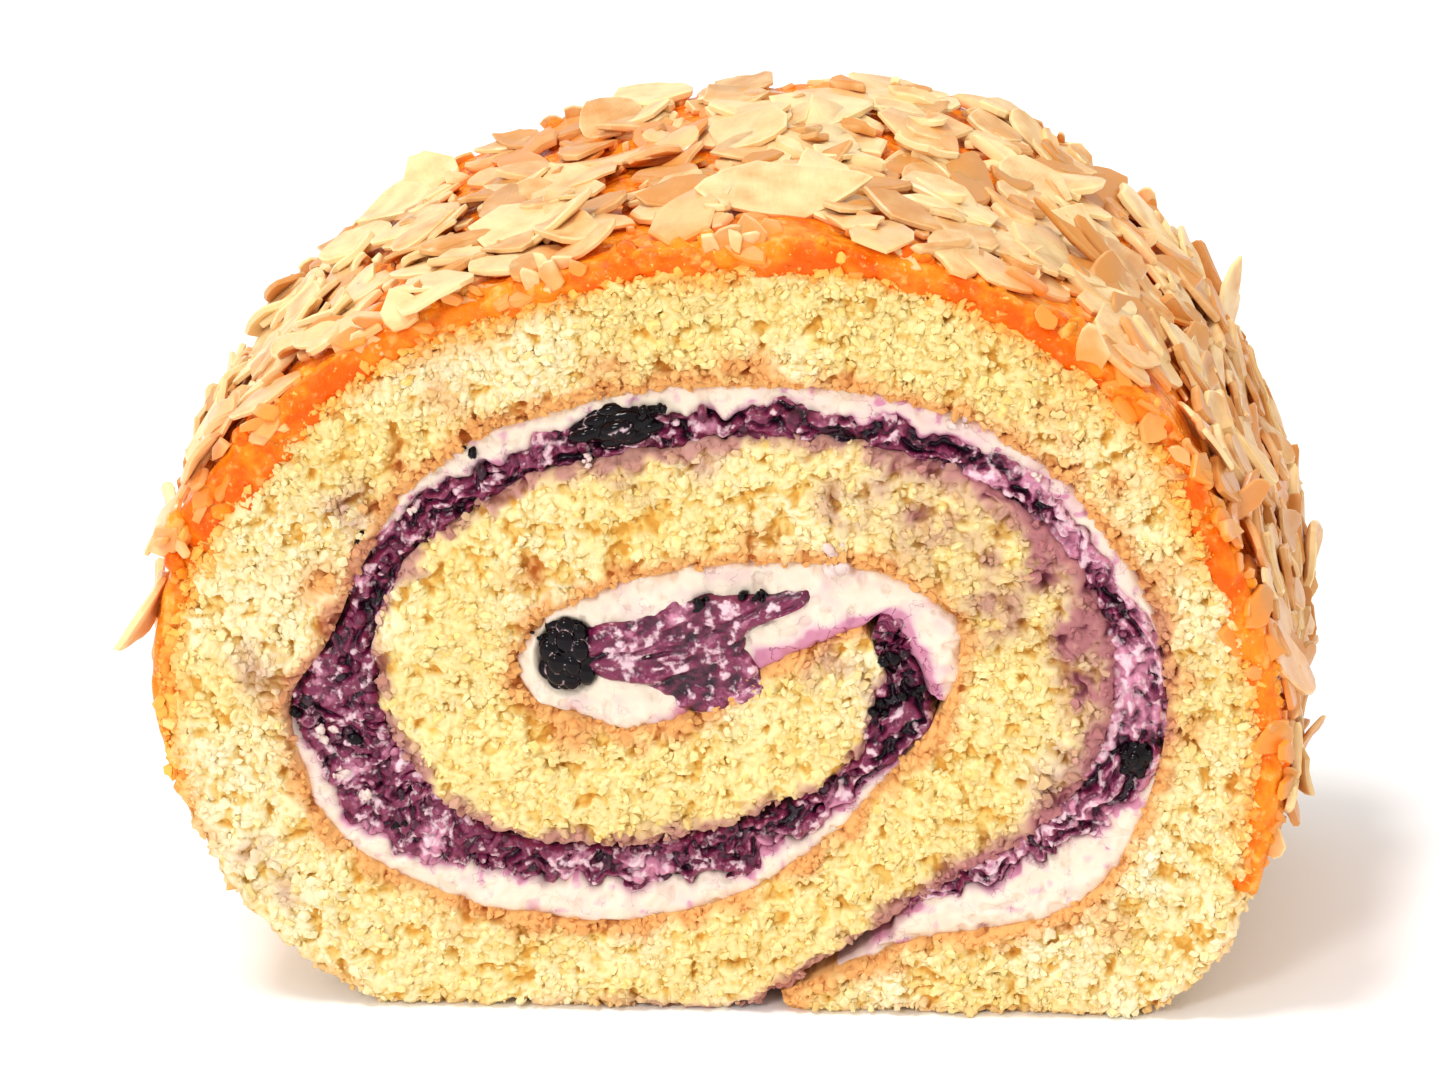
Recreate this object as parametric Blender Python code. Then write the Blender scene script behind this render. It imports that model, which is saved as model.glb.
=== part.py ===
"""A thick slice of swiss roll, standing on its flattened underside.

One sheet of sponge is rolled one and three quarter times round whipped cream and berry jam,
and the roll is coated with glaze and flaked almonds. The cut faces look along -Y and +Y, the
roll's axis runs along Y, and Z is up. Lengths are in millimetres until a mesh is written,
where MM turns them into metres.
"""
import math

import bmesh
import bpy
import numpy as np

MM = 0.001

# Driving sizes, in millimetres.
SLICE_DEPTH = 51.0          # from cut face to cut face, along the roll's axis
GAP = 0.3                   # room left between two pieces that touch
ROLL_CENTRE_X = 0.42        # where the finished slice's middle lies across the drawing
ROLL_CENTRE_Y = -0.28       # and along the roll's axis
CRAG_HEIGHT = 0.7           # how far crumb stands out of or into a cut face
FILLING_UNEVEN = 0.28       # the same for cream and jam
SHARP_EDGE = 40.0           # faces that meet at a larger angle, in degrees, keep a sharp edge
FACE_ROWS = 4               # crumb rows across the sheet's thickness
STEPS_PER_STATION = 3       # mesh steps between two stations of the sheet
NORMAL_REACH = 0.6          # stations to either side over which the sheet's direction is taken
CUTTER_REACH = 3.0          # how far what cuts or limits a piece passes its cut faces

# The sponge sheet, walked anticlockwise on the front cut face from its outer end under the
# roll to its inner end in the core: x and z on the sheet's inner, browned face, the sponge's
# thickness outwards from there, and the thickness of the cream spread on that face.
SHEET = np.array([
    (5.8, 1.6, 3.0, 0.0), (11.1, 4.2, 4.9, 0.4), (19.2, 7.5, 9.0, 2.6), (30.6, 9.9, 12.0, 5.2),
    (36.7, 14.0, 13.3, 4.6), (40.4, 21.3, 11.4, 0.9), (42.4, 28.8, 9.8, 0.0), (42.0, 37.4, 8.4, 0.0),
    (39.1, 44.5, 8.4, 1.2), (34.6, 51.7, 9.8, 1.5), (27.7, 57.5, 10.8, 2.2), (18.3, 61.2, 12.0, 3.0),
    (7.4, 62.6, 12.6, 2.1), (-3.0, 62.3, 11.9, 2.5), (-12.5, 60.4, 11.2, 1.2), (-21.0, 57.4, 11.5, 2.8),
    (-27.9, 52.1, 12.1, 1.2), (-32.5, 44.9, 14.0, 0.0), (-36.1, 37.1, 14.6, 0.0), (-40.0, 31.1, 12.4, 0.0),
    (-39.0, 24.0, 12.1, 1.6), (-35.6, 17.0, 11.8, 1.5), (-28.1, 12.3, 13.0, 2.5), (-19.2, 9.8, 12.0, 3.2),
    (-8.7, 9.2, 12.0, 2.8), (0.8, 11.3, 10.4, 2.2), (8.8, 16.4, 9.8, 1.8), (15.0, 22.7, 12.2, 0.8),
    (20.6, 29.5, 14.9, 0.0), (23.3, 36.0, 14.6, 4.3), (21.1, 41.6, 12.4, 4.2), (14.5, 44.7, 12.4, 3.4),
    (4.0, 45.2, 12.3, 3.0), (-5.5, 43.9, 12.0, 2.6), (-13.0, 41.0, 13.0, 1.6), (-17.9, 36.3, 13.6, 1.0),
    (-17.0, 31.7, 13.8, 1.0), (-11.9, 29.6, 13.2, 1.5), (-6.8, 28.7, 11.6, 3.0), (-0.3, 31.5, 12.0, 2.0),
    (7.4, 36.3, 12.6, 0.5), (14.3, 39.2, 5.4, 0.0),
])
INNER_END = len(SHEET) - 1.0            # station of the sheet's end in the core
SECOND_TURN = 24.0                      # from here the sheet's outer face lies inside the roll
POCKET_END = 35.0                       # where the sheet turns back under the core's hollow

# Stretches of filling, from station to station.
CREAM_STRETCHES = {"cream_tail": (1.33, 5.33), "cream_top": (7.33, 16.66), "cream_bottom": (19.33, 27.33)}
JAM_STRETCH = (2.0, 30.66)
POCKET_CREAM_STRETCH = (28.33, 41.0)
POCKET_MOUTH = 30.66                    # the cream in the core reaches right across from here on
THINNEST_CREAM = 0.4
THINNEST_JAM = 0.6

# The jam in the core, on the front cut face, with its tongue towards the right.
POCKET_JAM = [
    (-11.1, 34.2), (-5.7, 32.8), (-1.6, 30.4), (5.0, 32.6), (3.1, 37.8), (8.7, 41.2),
    (8.5, 42.6), (2.0, 41.8), (-3.0, 41.8), (-7.5, 39.4), (-11.0, 38.7),
]
POCKET_JAM_STEPS = 3                    # mesh steps between two of its points

# Berries: centre on the front cut face, how far behind that face, and radii along x, y and z.
BERRIES = {
    "berry_core": {"centre": (-13.5, 35.8), "inset": 2.0, "radii": (2.9, 3.1, 3.8), "lean": 12.0},
    "berry_top": {"centre": (-8.2, 58.6), "inset": 2.4, "radii": (4.6, 3.4, 2.0), "lean": 14.0},
    "berry_side": {"centre": (39.6, 26.2), "inset": 1.6, "radii": (1.7, 2.3, 2.1), "lean": -20.0},
}
BEADS = 30                              # on each berry
BEAD_RISE = 0.14                        # how far each bead stands out, as a share of the radius
BERRY_ROOM = 0.45                       # how much wider a berry's hollow in the filling is
BERRY_MERIDIANS, BERRY_RINGS = 14, 9

# The glaze, from foot to foot over the top: station of the sheet, glaze thickness there.
GLAZE = np.array([
    (4.6, 0.8), (5.2, 1.4), (7.0, 1.8), (10.0, 2.0), (13.0, 2.2), (15.5, 2.6), (16.6, 3.4),
    (17.3, 4.0), (18.2, 2.8), (19.1, 2.0), (19.8, 0.9),
])
GLAZE_STEPS_PER_STATION = 2.5
GLAZE_DEPTH_CELLS = 8
GLAZE_UNEVEN = 0.2                      # random rise and fall, as a share of the thickness

# The roll's own section under the coat, which keeps the coat off the sponge: a stretch of its
# outer face, closed by a line through the middle.
ROLL_ROOM_STRETCH = (3.0, 21.5)
ROLL_ROOM_MIDDLE = [(-20.0, 20.0), (0.0, 20.0), (20.0, 20.0)]

# Flaked almonds pressed into the glaze, the largest first. Pairs are the limits of a draw.
FLAKE_COUNT = 180
FLAKE_LENGTHS = (12.5, 6.0)             # of the first and of the last flake of the spread
FLAKE_THICKNESS = 0.9
FLAKE_SEED = 55
FLAKE_HEIGHTS = (0.35, 1.2)             # of a flake's middle over the glaze
FLAKE_SIZES = (0.8, 1.1)                # of a flake's length, as a share of the fading length
FLAKE_WIDTHS = (0.4, 0.75)              # as a share of its length
FLAKE_CORNERS = (5, 8)
FLAKE_REACHES = (0.75, 1.1)             # of a corner from the middle, as a share of half the size
FLAKE_CORNER_SHIFT = 0.3                # as a share of the angle between two corners
FLAKE_LIFTS = (2.0, 24.0)               # of one end, in degrees
FLAKE_MARGIN = 2.5                      # from a flake's middle to the cut face, at least
SPREAD_SHARES = (0.03, 0.97)            # how far down towards the feet the flakes reach
EVEN_STEPS = (0.7548776662, 0.5698402910)   # steps of a spread that leaves no bare patch
# Flakes that stand out to the eye: share of the way from the right foot to the left foot,
# depth from the middle, length, width, heading on the surface and lift of one end, in degrees.
LARGE_FLAKES = [
    (0.495, -15.5, 9.0, 16.5, 90.0, 20.0), (0.545, -13.0, 6.0, 10.0, 100.0, 16.0),
    (0.415, 0.5, 9.5, 6.0, 60.0, 14.0), (0.225, -20.5, 9.0, 3.0, 80.0, 55.0),
    (0.080, -18.5, 7.0, 6.0, 30.0, 35.0), (0.705, 21.0, 8.0, 8.0, 80.0, 38.0),
    (0.365, -6.0, 12.5, 2.6, 12.0, 8.0), (0.345, -3.0, 11.0, 2.4, 5.0, 12.0),
    (0.440, -16.5, 9.0, 6.0, 20.0, 12.0), (0.660, -11.5, 11.0, 4.5, -20.0, 10.0),
    (0.735, 10.0, 10.0, 6.5, 30.0, 14.0), (0.600, 18.0, 10.0, 7.0, 70.0, 16.0),
]

# Colour, roughness and metallic value of each material.
FINISHES = {
    "sponge": ((0.86, 0.66, 0.30), 0.9, 0.0),
    "cream": ((0.90, 0.84, 0.78), 0.45, 0.0),
    "jam": ((0.13, 0.015, 0.075), 0.3, 0.0),
    "berry": ((0.012, 0.004, 0.012), 0.25, 0.0),
    "coat": ((0.84, 0.50, 0.22), 0.4, 0.0),
}


def clear_scene():
    """Remove every object that the scene holds."""
    for thing in list(bpy.data.objects):
        bpy.data.objects.remove(thing, do_unlink=True)


def finish(name):
    """The material called name, with its colour, roughness and metallic value."""
    material = bpy.data.materials.get(name) or bpy.data.materials.new(name)
    material.use_nodes = True
    shader = material.node_tree.nodes["Principled BSDF"]
    colour, roughness, metallic = FINISHES[name]
    shader.inputs["Base Color"].default_value = (*colour, 1.0)
    shader.inputs["Roughness"].default_value = roughness
    shader.inputs["Metallic"].default_value = metallic
    material.diffuse_color = (*colour, 1.0)
    return material


def add_object(name, vertices, faces, material):
    """A new object from vertices in millimetres on the drawing and a list of faces."""
    mesh = bpy.data.meshes.new(name)
    placed = (np.asarray(vertices) - (ROLL_CENTRE_X, ROLL_CENTRE_Y, 0.0)) * MM
    mesh.from_pydata(placed.tolist(), [], [list(map(int, face)) for face in faces])
    tidy = bmesh.new()
    tidy.from_mesh(mesh)
    bmesh.ops.recalc_face_normals(tidy, faces=tidy.faces)
    tidy.to_mesh(mesh)
    tidy.free()
    mesh.shade_smooth()
    mesh.set_sharp_from_angle(angle=math.radians(SHARP_EDGE))
    thing = bpy.data.objects.new(name, mesh)
    thing.data.materials.append(finish(material))
    bpy.context.scene.collection.objects.link(thing)
    return thing


def smooth_curve(points, stations):
    """Points of the Catmull-Rom curve through points, at stations counted in points."""
    points = np.asarray(points, dtype=float)
    stations = np.clip(stations, 0.0, len(points) - 1.0)
    first = np.minimum(np.floor(stations).astype(int), len(points) - 2)
    t = (stations - first)[:, None]
    padded = np.vstack([2 * points[0] - points[1], points, 2 * points[-1] - points[-2]])
    a, b, c, d = (padded[first + k] for k in range(4))
    return 0.5 * (2 * b + (c - a) * t + (2 * a - 5 * b + 4 * c - d) * t**2
                  + (3 * b - a - 3 * c + d) * t**3)


def closed_curve(points, steps):
    """Points of the closed Catmull-Rom curve through points, steps to each stretch."""
    ring = np.vstack([points[-1:], points, points[:2]])
    stations = 1.0 + np.arange(len(points) * steps) / steps
    return smooth_curve(ring, stations)


def skin(stations):
    """The sheet's inner face at stations: points, and unit normals out of the roll."""
    points = smooth_curve(SHEET[:, :2], stations)
    along = (smooth_curve(SHEET[:, :2], stations + NORMAL_REACH)
             - smooth_curve(SHEET[:, :2], stations - NORMAL_REACH))
    along /= np.linalg.norm(along, axis=1)[:, None]
    return points, np.column_stack([along[:, 1], -along[:, 0]])


def sponge_thickness(stations):
    """The sheet's thickness, less what the board under the roll has pressed flat."""
    points, outward = skin(stations)
    thickness = smooth_curve(SHEET[:, 2:3], stations)[:, 0]
    downward = np.maximum(-outward[:, 1], 1e-6)
    to_board = np.where(outward[:, 1] < 0, points[:, 1] / downward, np.inf)
    return np.minimum(thickness, to_board)


def outer_face(stations, beyond=0.0):
    """The sheet's outer face at stations, or a line that lies beyond it."""
    points, outward = skin(stations)
    return points + outward * (sponge_thickness(stations) + beyond)[:, None]


def station_steps(first, last, steps=STEPS_PER_STATION):
    """Stations from first to last, with steps between two whole ones."""
    return first + np.arange(round((last - first) * steps) + 1) / steps


def room(points, directions, wall):
    """How far each point can move along its direction before it meets the wall's line."""
    start, end = wall[:-1], wall[1:]
    side = end - start
    cross = directions[:, :1] * side[:, 1] - directions[:, 1:] * side[:, 0]
    cross = np.where(np.abs(cross) < 1e-9, 1e-9, cross)
    away = start[None] - points[:, None]
    reach = (away[..., 0] * side[:, 1] - away[..., 1] * side[:, 0]) / cross
    place = (away[..., 0] * directions[:, 1:] - away[..., 1] * directions[:, :1]) / cross
    meets = (reach > 1e-3) & (place >= -1e-6) & (place <= 1.0 + 1e-6)
    return np.where(meets, reach, np.inf).min(axis=1)


def inner_winding_wall():
    """The outer face of the sheet's second turn, closed at the sheet's end in the core."""
    stations = station_steps(SECOND_TURN, INNER_END)
    core, _ = skin(station_steps(POCKET_END, INNER_END)[::-1])
    return np.vstack([outer_face(stations), core])


def prism_rows(near_side, far_side, rows):
    """Grid of points from one line to another: rows + 1 lines of points, evenly spread."""
    share = np.linspace(0.0, 1.0, rows + 1)[None, :, None]
    return near_side[:, None] * (1.0 - share) + far_side[:, None] * share


def strip_mesh(grid, front_y, back_y, depth_cells=1):
    """Vertices and faces of the strip whose section is grid, from front_y to back_y.

    grid[i, j] is a point of the section, front_y and back_y its place along the roll's axis
    at each cut face. Both faces are whole grids; the rim between them has depth_cells rows.
    """
    count, rows = grid.shape[:2]
    front = np.dstack([grid[..., 0], front_y, grid[..., 1]]).reshape(-1, 3)
    back = np.dstack([grid[..., 0], back_y, grid[..., 1]]).reshape(-1, 3)
    index = np.arange(count * rows).reshape(count, rows)
    rim = np.concatenate([index[:, 0], index[-1, 1:], index[-2::-1, -1], index[0, -2:0:-1]])
    faces = []
    quads = np.stack([index[:-1, :-1], index[1:, :-1], index[1:, 1:], index[:-1, 1:]], -1)
    flip = (np.add.outer(np.arange(count - 1), np.arange(rows - 1)) % 2).reshape(-1)
    for (a, b, c, d), turned in zip(quads.reshape(-1, 4), flip):
        faces += [(a, b, c), (a, c, d)] if turned else [(a, b, d), (b, c, d)]
    offset = len(front)
    faces += [tuple(corner + offset for corner in face[::-1]) for face in faces]
    vertices = [front, back]
    rings = [rim]
    total = 2 * offset
    for cell in range(1, depth_cells):
        share = cell / depth_cells
        vertices.append(front[rim] * (1.0 - share) + back[rim] * share)
        rings.append(total + np.arange(len(rim)))
        total += len(rim)
    rings.append(rim + offset)
    for near, far in zip(rings[:-1], rings[1:]):
        for k in range(len(rim)):
            a, b = near[k - 1], near[k]
            c, d = far[k], far[k - 1]
            faces += [(a, b, c), (a, c, d)] if k % 2 else [(a, b, d), (b, c, d)]
    return np.vstack(vertices), faces


def cut_faces(shape, height, seed):
    """Places along the axis of both cut faces, roughened by up to height either way."""
    draw = np.random.default_rng(seed)
    front = -SLICE_DEPTH / 2 + draw.uniform(-height, height, shape)
    back = SLICE_DEPTH / 2 + draw.uniform(-height, height, shape)
    return front, back


def build_sponge():
    """The rolled sheet as one spiral strip, with crumb standing out on both cut faces."""
    stations = station_steps(0.0, INNER_END)
    grid = prism_rows(skin(stations)[0], outer_face(stations), FACE_ROWS)
    front, back = cut_faces(grid.shape[:2], CRAG_HEIGHT, seed=3)
    vertices, faces = strip_mesh(grid, front, back, depth_cells=2)
    return add_object("sponge", vertices, faces, "sponge")


def filling_room(stations):
    """The filling's whole thickness at stations, from the skin to the next winding."""
    points, outward = skin(stations)
    return room(points, -outward, inner_winding_wall())


def strip_between(name, stations, near, far, rows, seed, material):
    """A strip of filling between two distances from the sheet's inner face."""
    points, outward = skin(stations)
    grid = prism_rows(points - outward * near[:, None], points - outward * far[:, None], rows)
    front, back = cut_faces(grid.shape[:2], FILLING_UNEVEN, seed)
    vertices, faces = strip_mesh(grid, front, back)
    return add_object(name, vertices, faces, material)


def spread_cream(stations):
    """The cream's thickness at stations, in a straight line from one to the next.

    It leaves room for the gaps and for a thin film of jam.
    """
    spread = np.interp(stations, np.arange(len(SHEET)), SHEET[:, 3])
    return np.minimum(spread, filling_room(stations) - 3 * GAP - THINNEST_JAM)


def build_cream():
    """The cream spread on the skin, one strip for each stretch that holds some."""
    for seed, (name, (first, last)) in enumerate(CREAM_STRETCHES.items(), start=11):
        stations = station_steps(first, last)
        near = np.full(len(stations), GAP)
        far = near + np.maximum(spread_cream(stations), THINNEST_CREAM)
        strip_between(name, stations, near, far, 1, seed, "cream")


def build_jam():
    """The jam between the cream, or the bare skin, and the next winding's outer face."""
    stations = station_steps(*JAM_STRETCH)
    cream = spread_cream(stations)
    near = GAP + cream + np.clip(cream, 0.0, GAP)
    return strip_between("jam", stations, near, filling_room(stations) - GAP, 1, 21, "jam")


def prism(name, outline, front, back, material):
    """A closed outline on the cut face, carried straight from front to back."""
    count = len(outline)
    near = np.column_stack([outline[:, 0], np.full(count, front), outline[:, 1]])
    far = np.column_stack([outline[:, 0], np.full(count, back), outline[:, 1]])
    walls = [(k - 1, k, k + count, k - 1 + count) for k in range(1, count)]
    walls.append((count - 1, 0, count, 2 * count - 1))
    ends = [tuple(range(count)), tuple(range(2 * count - 1, count - 1, -1))]
    return add_object(name, np.vstack([near, far]), walls + ends, material)


def grown(outline, amount):
    """The closed outline moved outwards by amount, for an outline walked anticlockwise."""
    along = np.roll(outline, -1, axis=0) - np.roll(outline, 1, axis=0)
    along /= np.linalg.norm(along, axis=1)[:, None]
    return outline + np.column_stack([along[:, 1], -along[:, 0]]) * amount


def combine(target, other, operation):
    """Boolean of target with other, left as a live modifier."""
    modifier = target.modifiers.new(operation.lower(), "BOOLEAN")
    modifier.operation = operation
    modifier.solver = "EXACT"
    modifier.object = other


def as_cutter(thing):
    """Mark thing as a guide that only shapes other pieces."""
    thing.hide_render = True
    thing.display_type = "WIRE"
    return thing


def pocket_outline():
    """The core's hollow inside the sheet's last loop, clear of the skin by the gap."""
    stations = station_steps(*POCKET_CREAM_STRETCH)
    points, outward = skin(stations)
    shore = points - outward * GAP
    mouth = station_steps(POCKET_CREAM_STRETCH[0], POCKET_MOUTH)[::-1]
    points, outward = skin(mouth)
    inner = points - outward * (GAP + spread_cream(mouth))[:, None]
    return np.vstack([shore, inner])


def berry_mesh(centre, radii, lean, rise):
    """A berry: an ellipsoid whose surface sinks between round beads by a share of its radius."""
    around = np.arange(BERRY_MERIDIANS) * 2 * np.pi / BERRY_MERIDIANS
    down = (np.arange(BERRY_RINGS) + 1) * np.pi / (BERRY_RINGS + 1)
    polar, turn = np.meshgrid(down, around, indexing="ij")
    ways = np.dstack([np.sin(polar) * np.cos(turn), np.sin(polar) * np.sin(turn), np.cos(polar)])
    ways = np.vstack([[(0.0, 0.0, 1.0)], ways.reshape(-1, 3), [(0.0, 0.0, -1.0)]])
    k = np.arange(BEADS) + 0.5
    height = 1.0 - 2.0 * k / BEADS
    swirl = np.pi * (1.0 + 5.0**0.5) * k
    flat = np.sqrt(1.0 - height**2)
    middles = np.column_stack([flat * np.cos(swirl), flat * np.sin(swirl), height])
    nearest = (ways @ middles.T).max(axis=1)
    sink = rise * (1.0 - nearest) / (1.0 - nearest.min())
    body = ways * np.array(radii) * (1.0 - sink)[:, None]
    angle = math.radians(lean)
    vertices = np.column_stack([
        body[:, 0] * math.cos(angle) - body[:, 2] * math.sin(angle), body[:, 1],
        body[:, 0] * math.sin(angle) + body[:, 2] * math.cos(angle),
    ]) + np.array(centre)
    faces = []
    for ring in range(BERRY_RINGS - 1):
        for m in range(BERRY_MERIDIANS):
            a = 1 + ring * BERRY_MERIDIANS + m
            b = 1 + ring * BERRY_MERIDIANS + (m + 1) % BERRY_MERIDIANS
            faces += [(a, a + BERRY_MERIDIANS, b), (b, a + BERRY_MERIDIANS, b + BERRY_MERIDIANS)]
    last = len(vertices) - 1
    for m in range(BERRY_MERIDIANS):
        n = (m + 1) % BERRY_MERIDIANS
        faces.append((0, 1 + m, 1 + n))
        faces.append((last, last - BERRY_MERIDIANS + n, last - BERRY_MERIDIANS + m))
    return vertices, faces


def build_berries():
    """The whole berries, and for each a larger egg that hollows out the filling."""
    rooms = {}
    for name, berry in BERRIES.items():
        x, z = berry["centre"]
        centre = (x, -SLICE_DEPTH / 2 + berry["inset"], z)
        vertices, faces = berry_mesh(centre, berry["radii"], berry["lean"], BEAD_RISE)
        add_object(name, vertices, faces, "berry")
        wider = np.array(berry["radii"]) + BERRY_ROOM
        vertices, faces = berry_mesh(centre, wider, berry["lean"], 0.0)
        rooms[name] = as_cutter(add_object(name + "_room", vertices, faces, "berry"))
    return rooms


def build_pocket():
    """The cream and the jam in the core."""
    front, back = -SLICE_DEPTH / 2, SLICE_DEPTH / 2
    hollow = pocket_outline()
    jam_outline = closed_curve(np.array(POCKET_JAM), POCKET_JAM_STEPS)
    cream = prism("cream_core", hollow, front, back, "cream")
    jam = prism("jam_core", jam_outline, front - CRAG_HEIGHT, back + CRAG_HEIGHT, "jam")
    before, behind = front - CUTTER_REACH, back + CUTTER_REACH
    limits = as_cutter(prism("pocket_limits", hollow, before, behind, "cream"))
    jam_room = as_cutter(prism("jam_room", grown(jam_outline, GAP), before, behind, "jam"))
    combine(cream, jam_room, "DIFFERENCE")
    combine(jam, limits, "INTERSECT")
    return cream, jam


def coat_stations():
    """Stations of the glaze's mesh, from the right foot over the top to the left foot."""
    steps = round((GLAZE[-1, 0] - GLAZE[0, 0]) * GLAZE_STEPS_PER_STATION)
    return np.linspace(GLAZE[0, 0], GLAZE[-1, 0], steps + 1)


def coat_surface(shares, depth):
    """Points on the glaze, at shares of the way over the roll and depth from the middle."""
    stations = GLAZE[0, 0] + shares * (GLAZE[-1, 0] - GLAZE[0, 0])
    edge = outer_face(stations, np.interp(stations, GLAZE[:, 0], GLAZE[:, 1]))
    return np.column_stack([edge[:, 0], np.full(len(shares), depth), edge[:, 1]])


def build_glaze():
    """The glaze as an uneven slab over the roll's outer face."""
    draw = np.random.default_rng(5)
    stations = coat_stations()
    rows = GLAZE_DEPTH_CELLS + 1
    depths = np.linspace(-SLICE_DEPTH / 2, SLICE_DEPTH / 2, rows)
    thickness = np.interp(stations, GLAZE[:, 0], GLAZE[:, 1])
    points, outward = skin(stations)
    foot = points + outward * (sponge_thickness(stations) + GAP)[:, None]
    count = len(stations)
    rise = thickness[:, None] * (1.0 + draw.uniform(-GLAZE_UNEVEN, GLAZE_UNEVEN, (count, rows)))
    inner = np.stack([np.repeat(foot[:, :1], rows, 1), np.tile(depths, (count, 1)),
                      np.repeat(foot[:, 1:], rows, 1)], -1)
    outer = inner.copy()
    outer[..., 0] += outward[:, :1] * rise
    outer[..., 2] += outward[:, 1:] * rise
    size = count * rows
    low = np.arange(size).reshape(count, rows)
    high = low + size
    faces = []
    for sheet, turned in ((low, False), (high, True)):
        quads = np.stack([sheet[:-1, :-1], sheet[1:, :-1], sheet[1:, 1:], sheet[:-1, 1:]], -1)
        faces += [tuple(q[::-1]) if turned else tuple(q) for q in quads.reshape(-1, 4)]
    rim = np.concatenate([low[:, 0], low[-1, 1:], low[-2::-1, -1], low[0, -2:0:-1]])
    faces += [(rim[k - 1], rim[k], rim[k] + size, rim[k - 1] + size) for k in range(len(rim))]
    vertices = np.vstack([inner.reshape(-1, 3), outer.reshape(-1, 3)])
    glaze = add_object("coat", vertices, faces, "coat")
    split_quads(glaze)
    return glaze


def split_quads(thing):
    """Turn every face of thing into triangles."""
    work = bmesh.new()
    work.from_mesh(thing.data)
    bmesh.ops.triangulate(work, faces=work.faces)
    work.to_mesh(thing.data)
    work.free()


def flake_frame(share, depth, heading, lift):
    """Where a flake lies on the glaze, and its own directions: ahead, sideways and up."""
    here, beyond = coat_surface(np.array([share, share + 0.004]), depth)
    along = (beyond - here) / np.linalg.norm(beyond - here)
    axis = np.array([0.0, 1.0, 0.0])
    outward = np.cross(along, axis)
    turn, rise = math.radians(heading), math.radians(lift)
    level = along * math.cos(turn) + axis * math.sin(turn)
    ahead = level * math.cos(rise) + outward * math.sin(rise)
    up = outward * math.cos(rise) - level * math.sin(rise)
    return here, outward, ahead, np.cross(up, ahead), up


def flake_mesh(draw, share, depth, length, width, heading, lift):
    """One almond flake: an uneven flat outline, lying on the glaze with one end lifted."""
    here, outward, ahead, side, up = flake_frame(share, depth, heading, lift)
    corners = int(draw.integers(*FLAKE_CORNERS))
    shift = draw.uniform(-FLAKE_CORNER_SHIFT, FLAKE_CORNER_SHIFT, corners)
    angles = (np.arange(corners) + shift) * 2 * np.pi / corners
    reach = draw.uniform(*FLAKE_REACHES, corners) / 2
    flat = np.outer(reach * length * np.cos(angles), ahead)
    flat += np.outer(reach * width * np.sin(angles), side)
    middle = here + outward * draw.uniform(*FLAKE_HEIGHTS)
    half = up * FLAKE_THICKNESS / 2
    faces = [tuple(range(corners)), tuple(range(2 * corners - 1, corners - 1, -1))]
    faces += [(k, k + corners, (k + 1) % corners + corners, (k + 1) % corners) for k in range(corners)]
    return np.vstack([middle + flat + half, middle + flat - half]), faces


def flake_list():
    """Place, size and turn of each flake: the large ones, then a spread that grows smaller."""
    draw = np.random.default_rng(FLAKE_SEED)
    low, high = SPREAD_SHARES
    flakes = list(LARGE_FLAKES)
    for k in range(FLAKE_COUNT - len(LARGE_FLAKES)):
        share = low + (high - low) * ((0.5 + k * EVEN_STEPS[0]) % 1.0)
        depth = (((0.5 + k * EVEN_STEPS[1]) % 1.0) - 0.5) * (SLICE_DEPTH - 2 * FLAKE_MARGIN)
        fade = k / FLAKE_COUNT
        length = FLAKE_LENGTHS[0] * (1.0 - fade) + FLAKE_LENGTHS[1] * fade
        length *= draw.uniform(*FLAKE_SIZES)
        width = length * draw.uniform(*FLAKE_WIDTHS)
        heading, lift = draw.uniform(0.0, 360.0), draw.uniform(*FLAKE_LIFTS)
        flakes.append((share, depth, length, width, heading, lift))
    return flakes


def build_coat():
    """The glaze with the flakes fused to it, cut clear of the sponge."""
    glaze = build_glaze()
    draw = np.random.default_rng(FLAKE_SEED + 1)
    group = bpy.data.collections.new("flakes")
    bpy.context.scene.collection.children.link(group)
    for number, flake in enumerate(flake_list()):
        vertices, faces = flake_mesh(draw, *flake)
        thing = add_object("flake_%03d" % number, vertices, faces, "coat")
        bpy.context.scene.collection.objects.unlink(thing)
        group.objects.link(thing)
        split_quads(thing)
    join = glaze.modifiers.new("flakes", "BOOLEAN")
    join.operation = "UNION"
    join.operand_type = "COLLECTION"
    join.collection = group
    join.solver = "MANIFOLD"
    apply_modifiers(glaze)
    for thing in list(group.objects):
        bpy.data.objects.remove(thing, do_unlink=True)
    bpy.data.collections.remove(group)
    foot = outer_face(station_steps(*ROLL_ROOM_STRETCH), GAP)
    core = np.vstack([foot, ROLL_ROOM_MIDDLE])
    cutter = prism("roll_room", core, -SLICE_DEPTH, SLICE_DEPTH, "coat")
    cut = glaze.modifiers.new("core", "BOOLEAN")
    cut.operation = "DIFFERENCE"
    cut.object = cutter
    cut.solver = "MANIFOLD"
    apply_modifiers(glaze)
    bpy.data.objects.remove(cutter, do_unlink=True)
    keep_largest_shell(glaze)
    return glaze


def apply_modifiers(thing):
    """Replace the mesh of thing by what its modifiers make of it."""
    bpy.context.view_layer.update()
    shaped = thing.evaluated_get(bpy.context.evaluated_depsgraph_get())
    mesh = bpy.data.meshes.new_from_object(shaped)
    thing.modifiers.clear()
    thing.data = mesh


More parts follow.
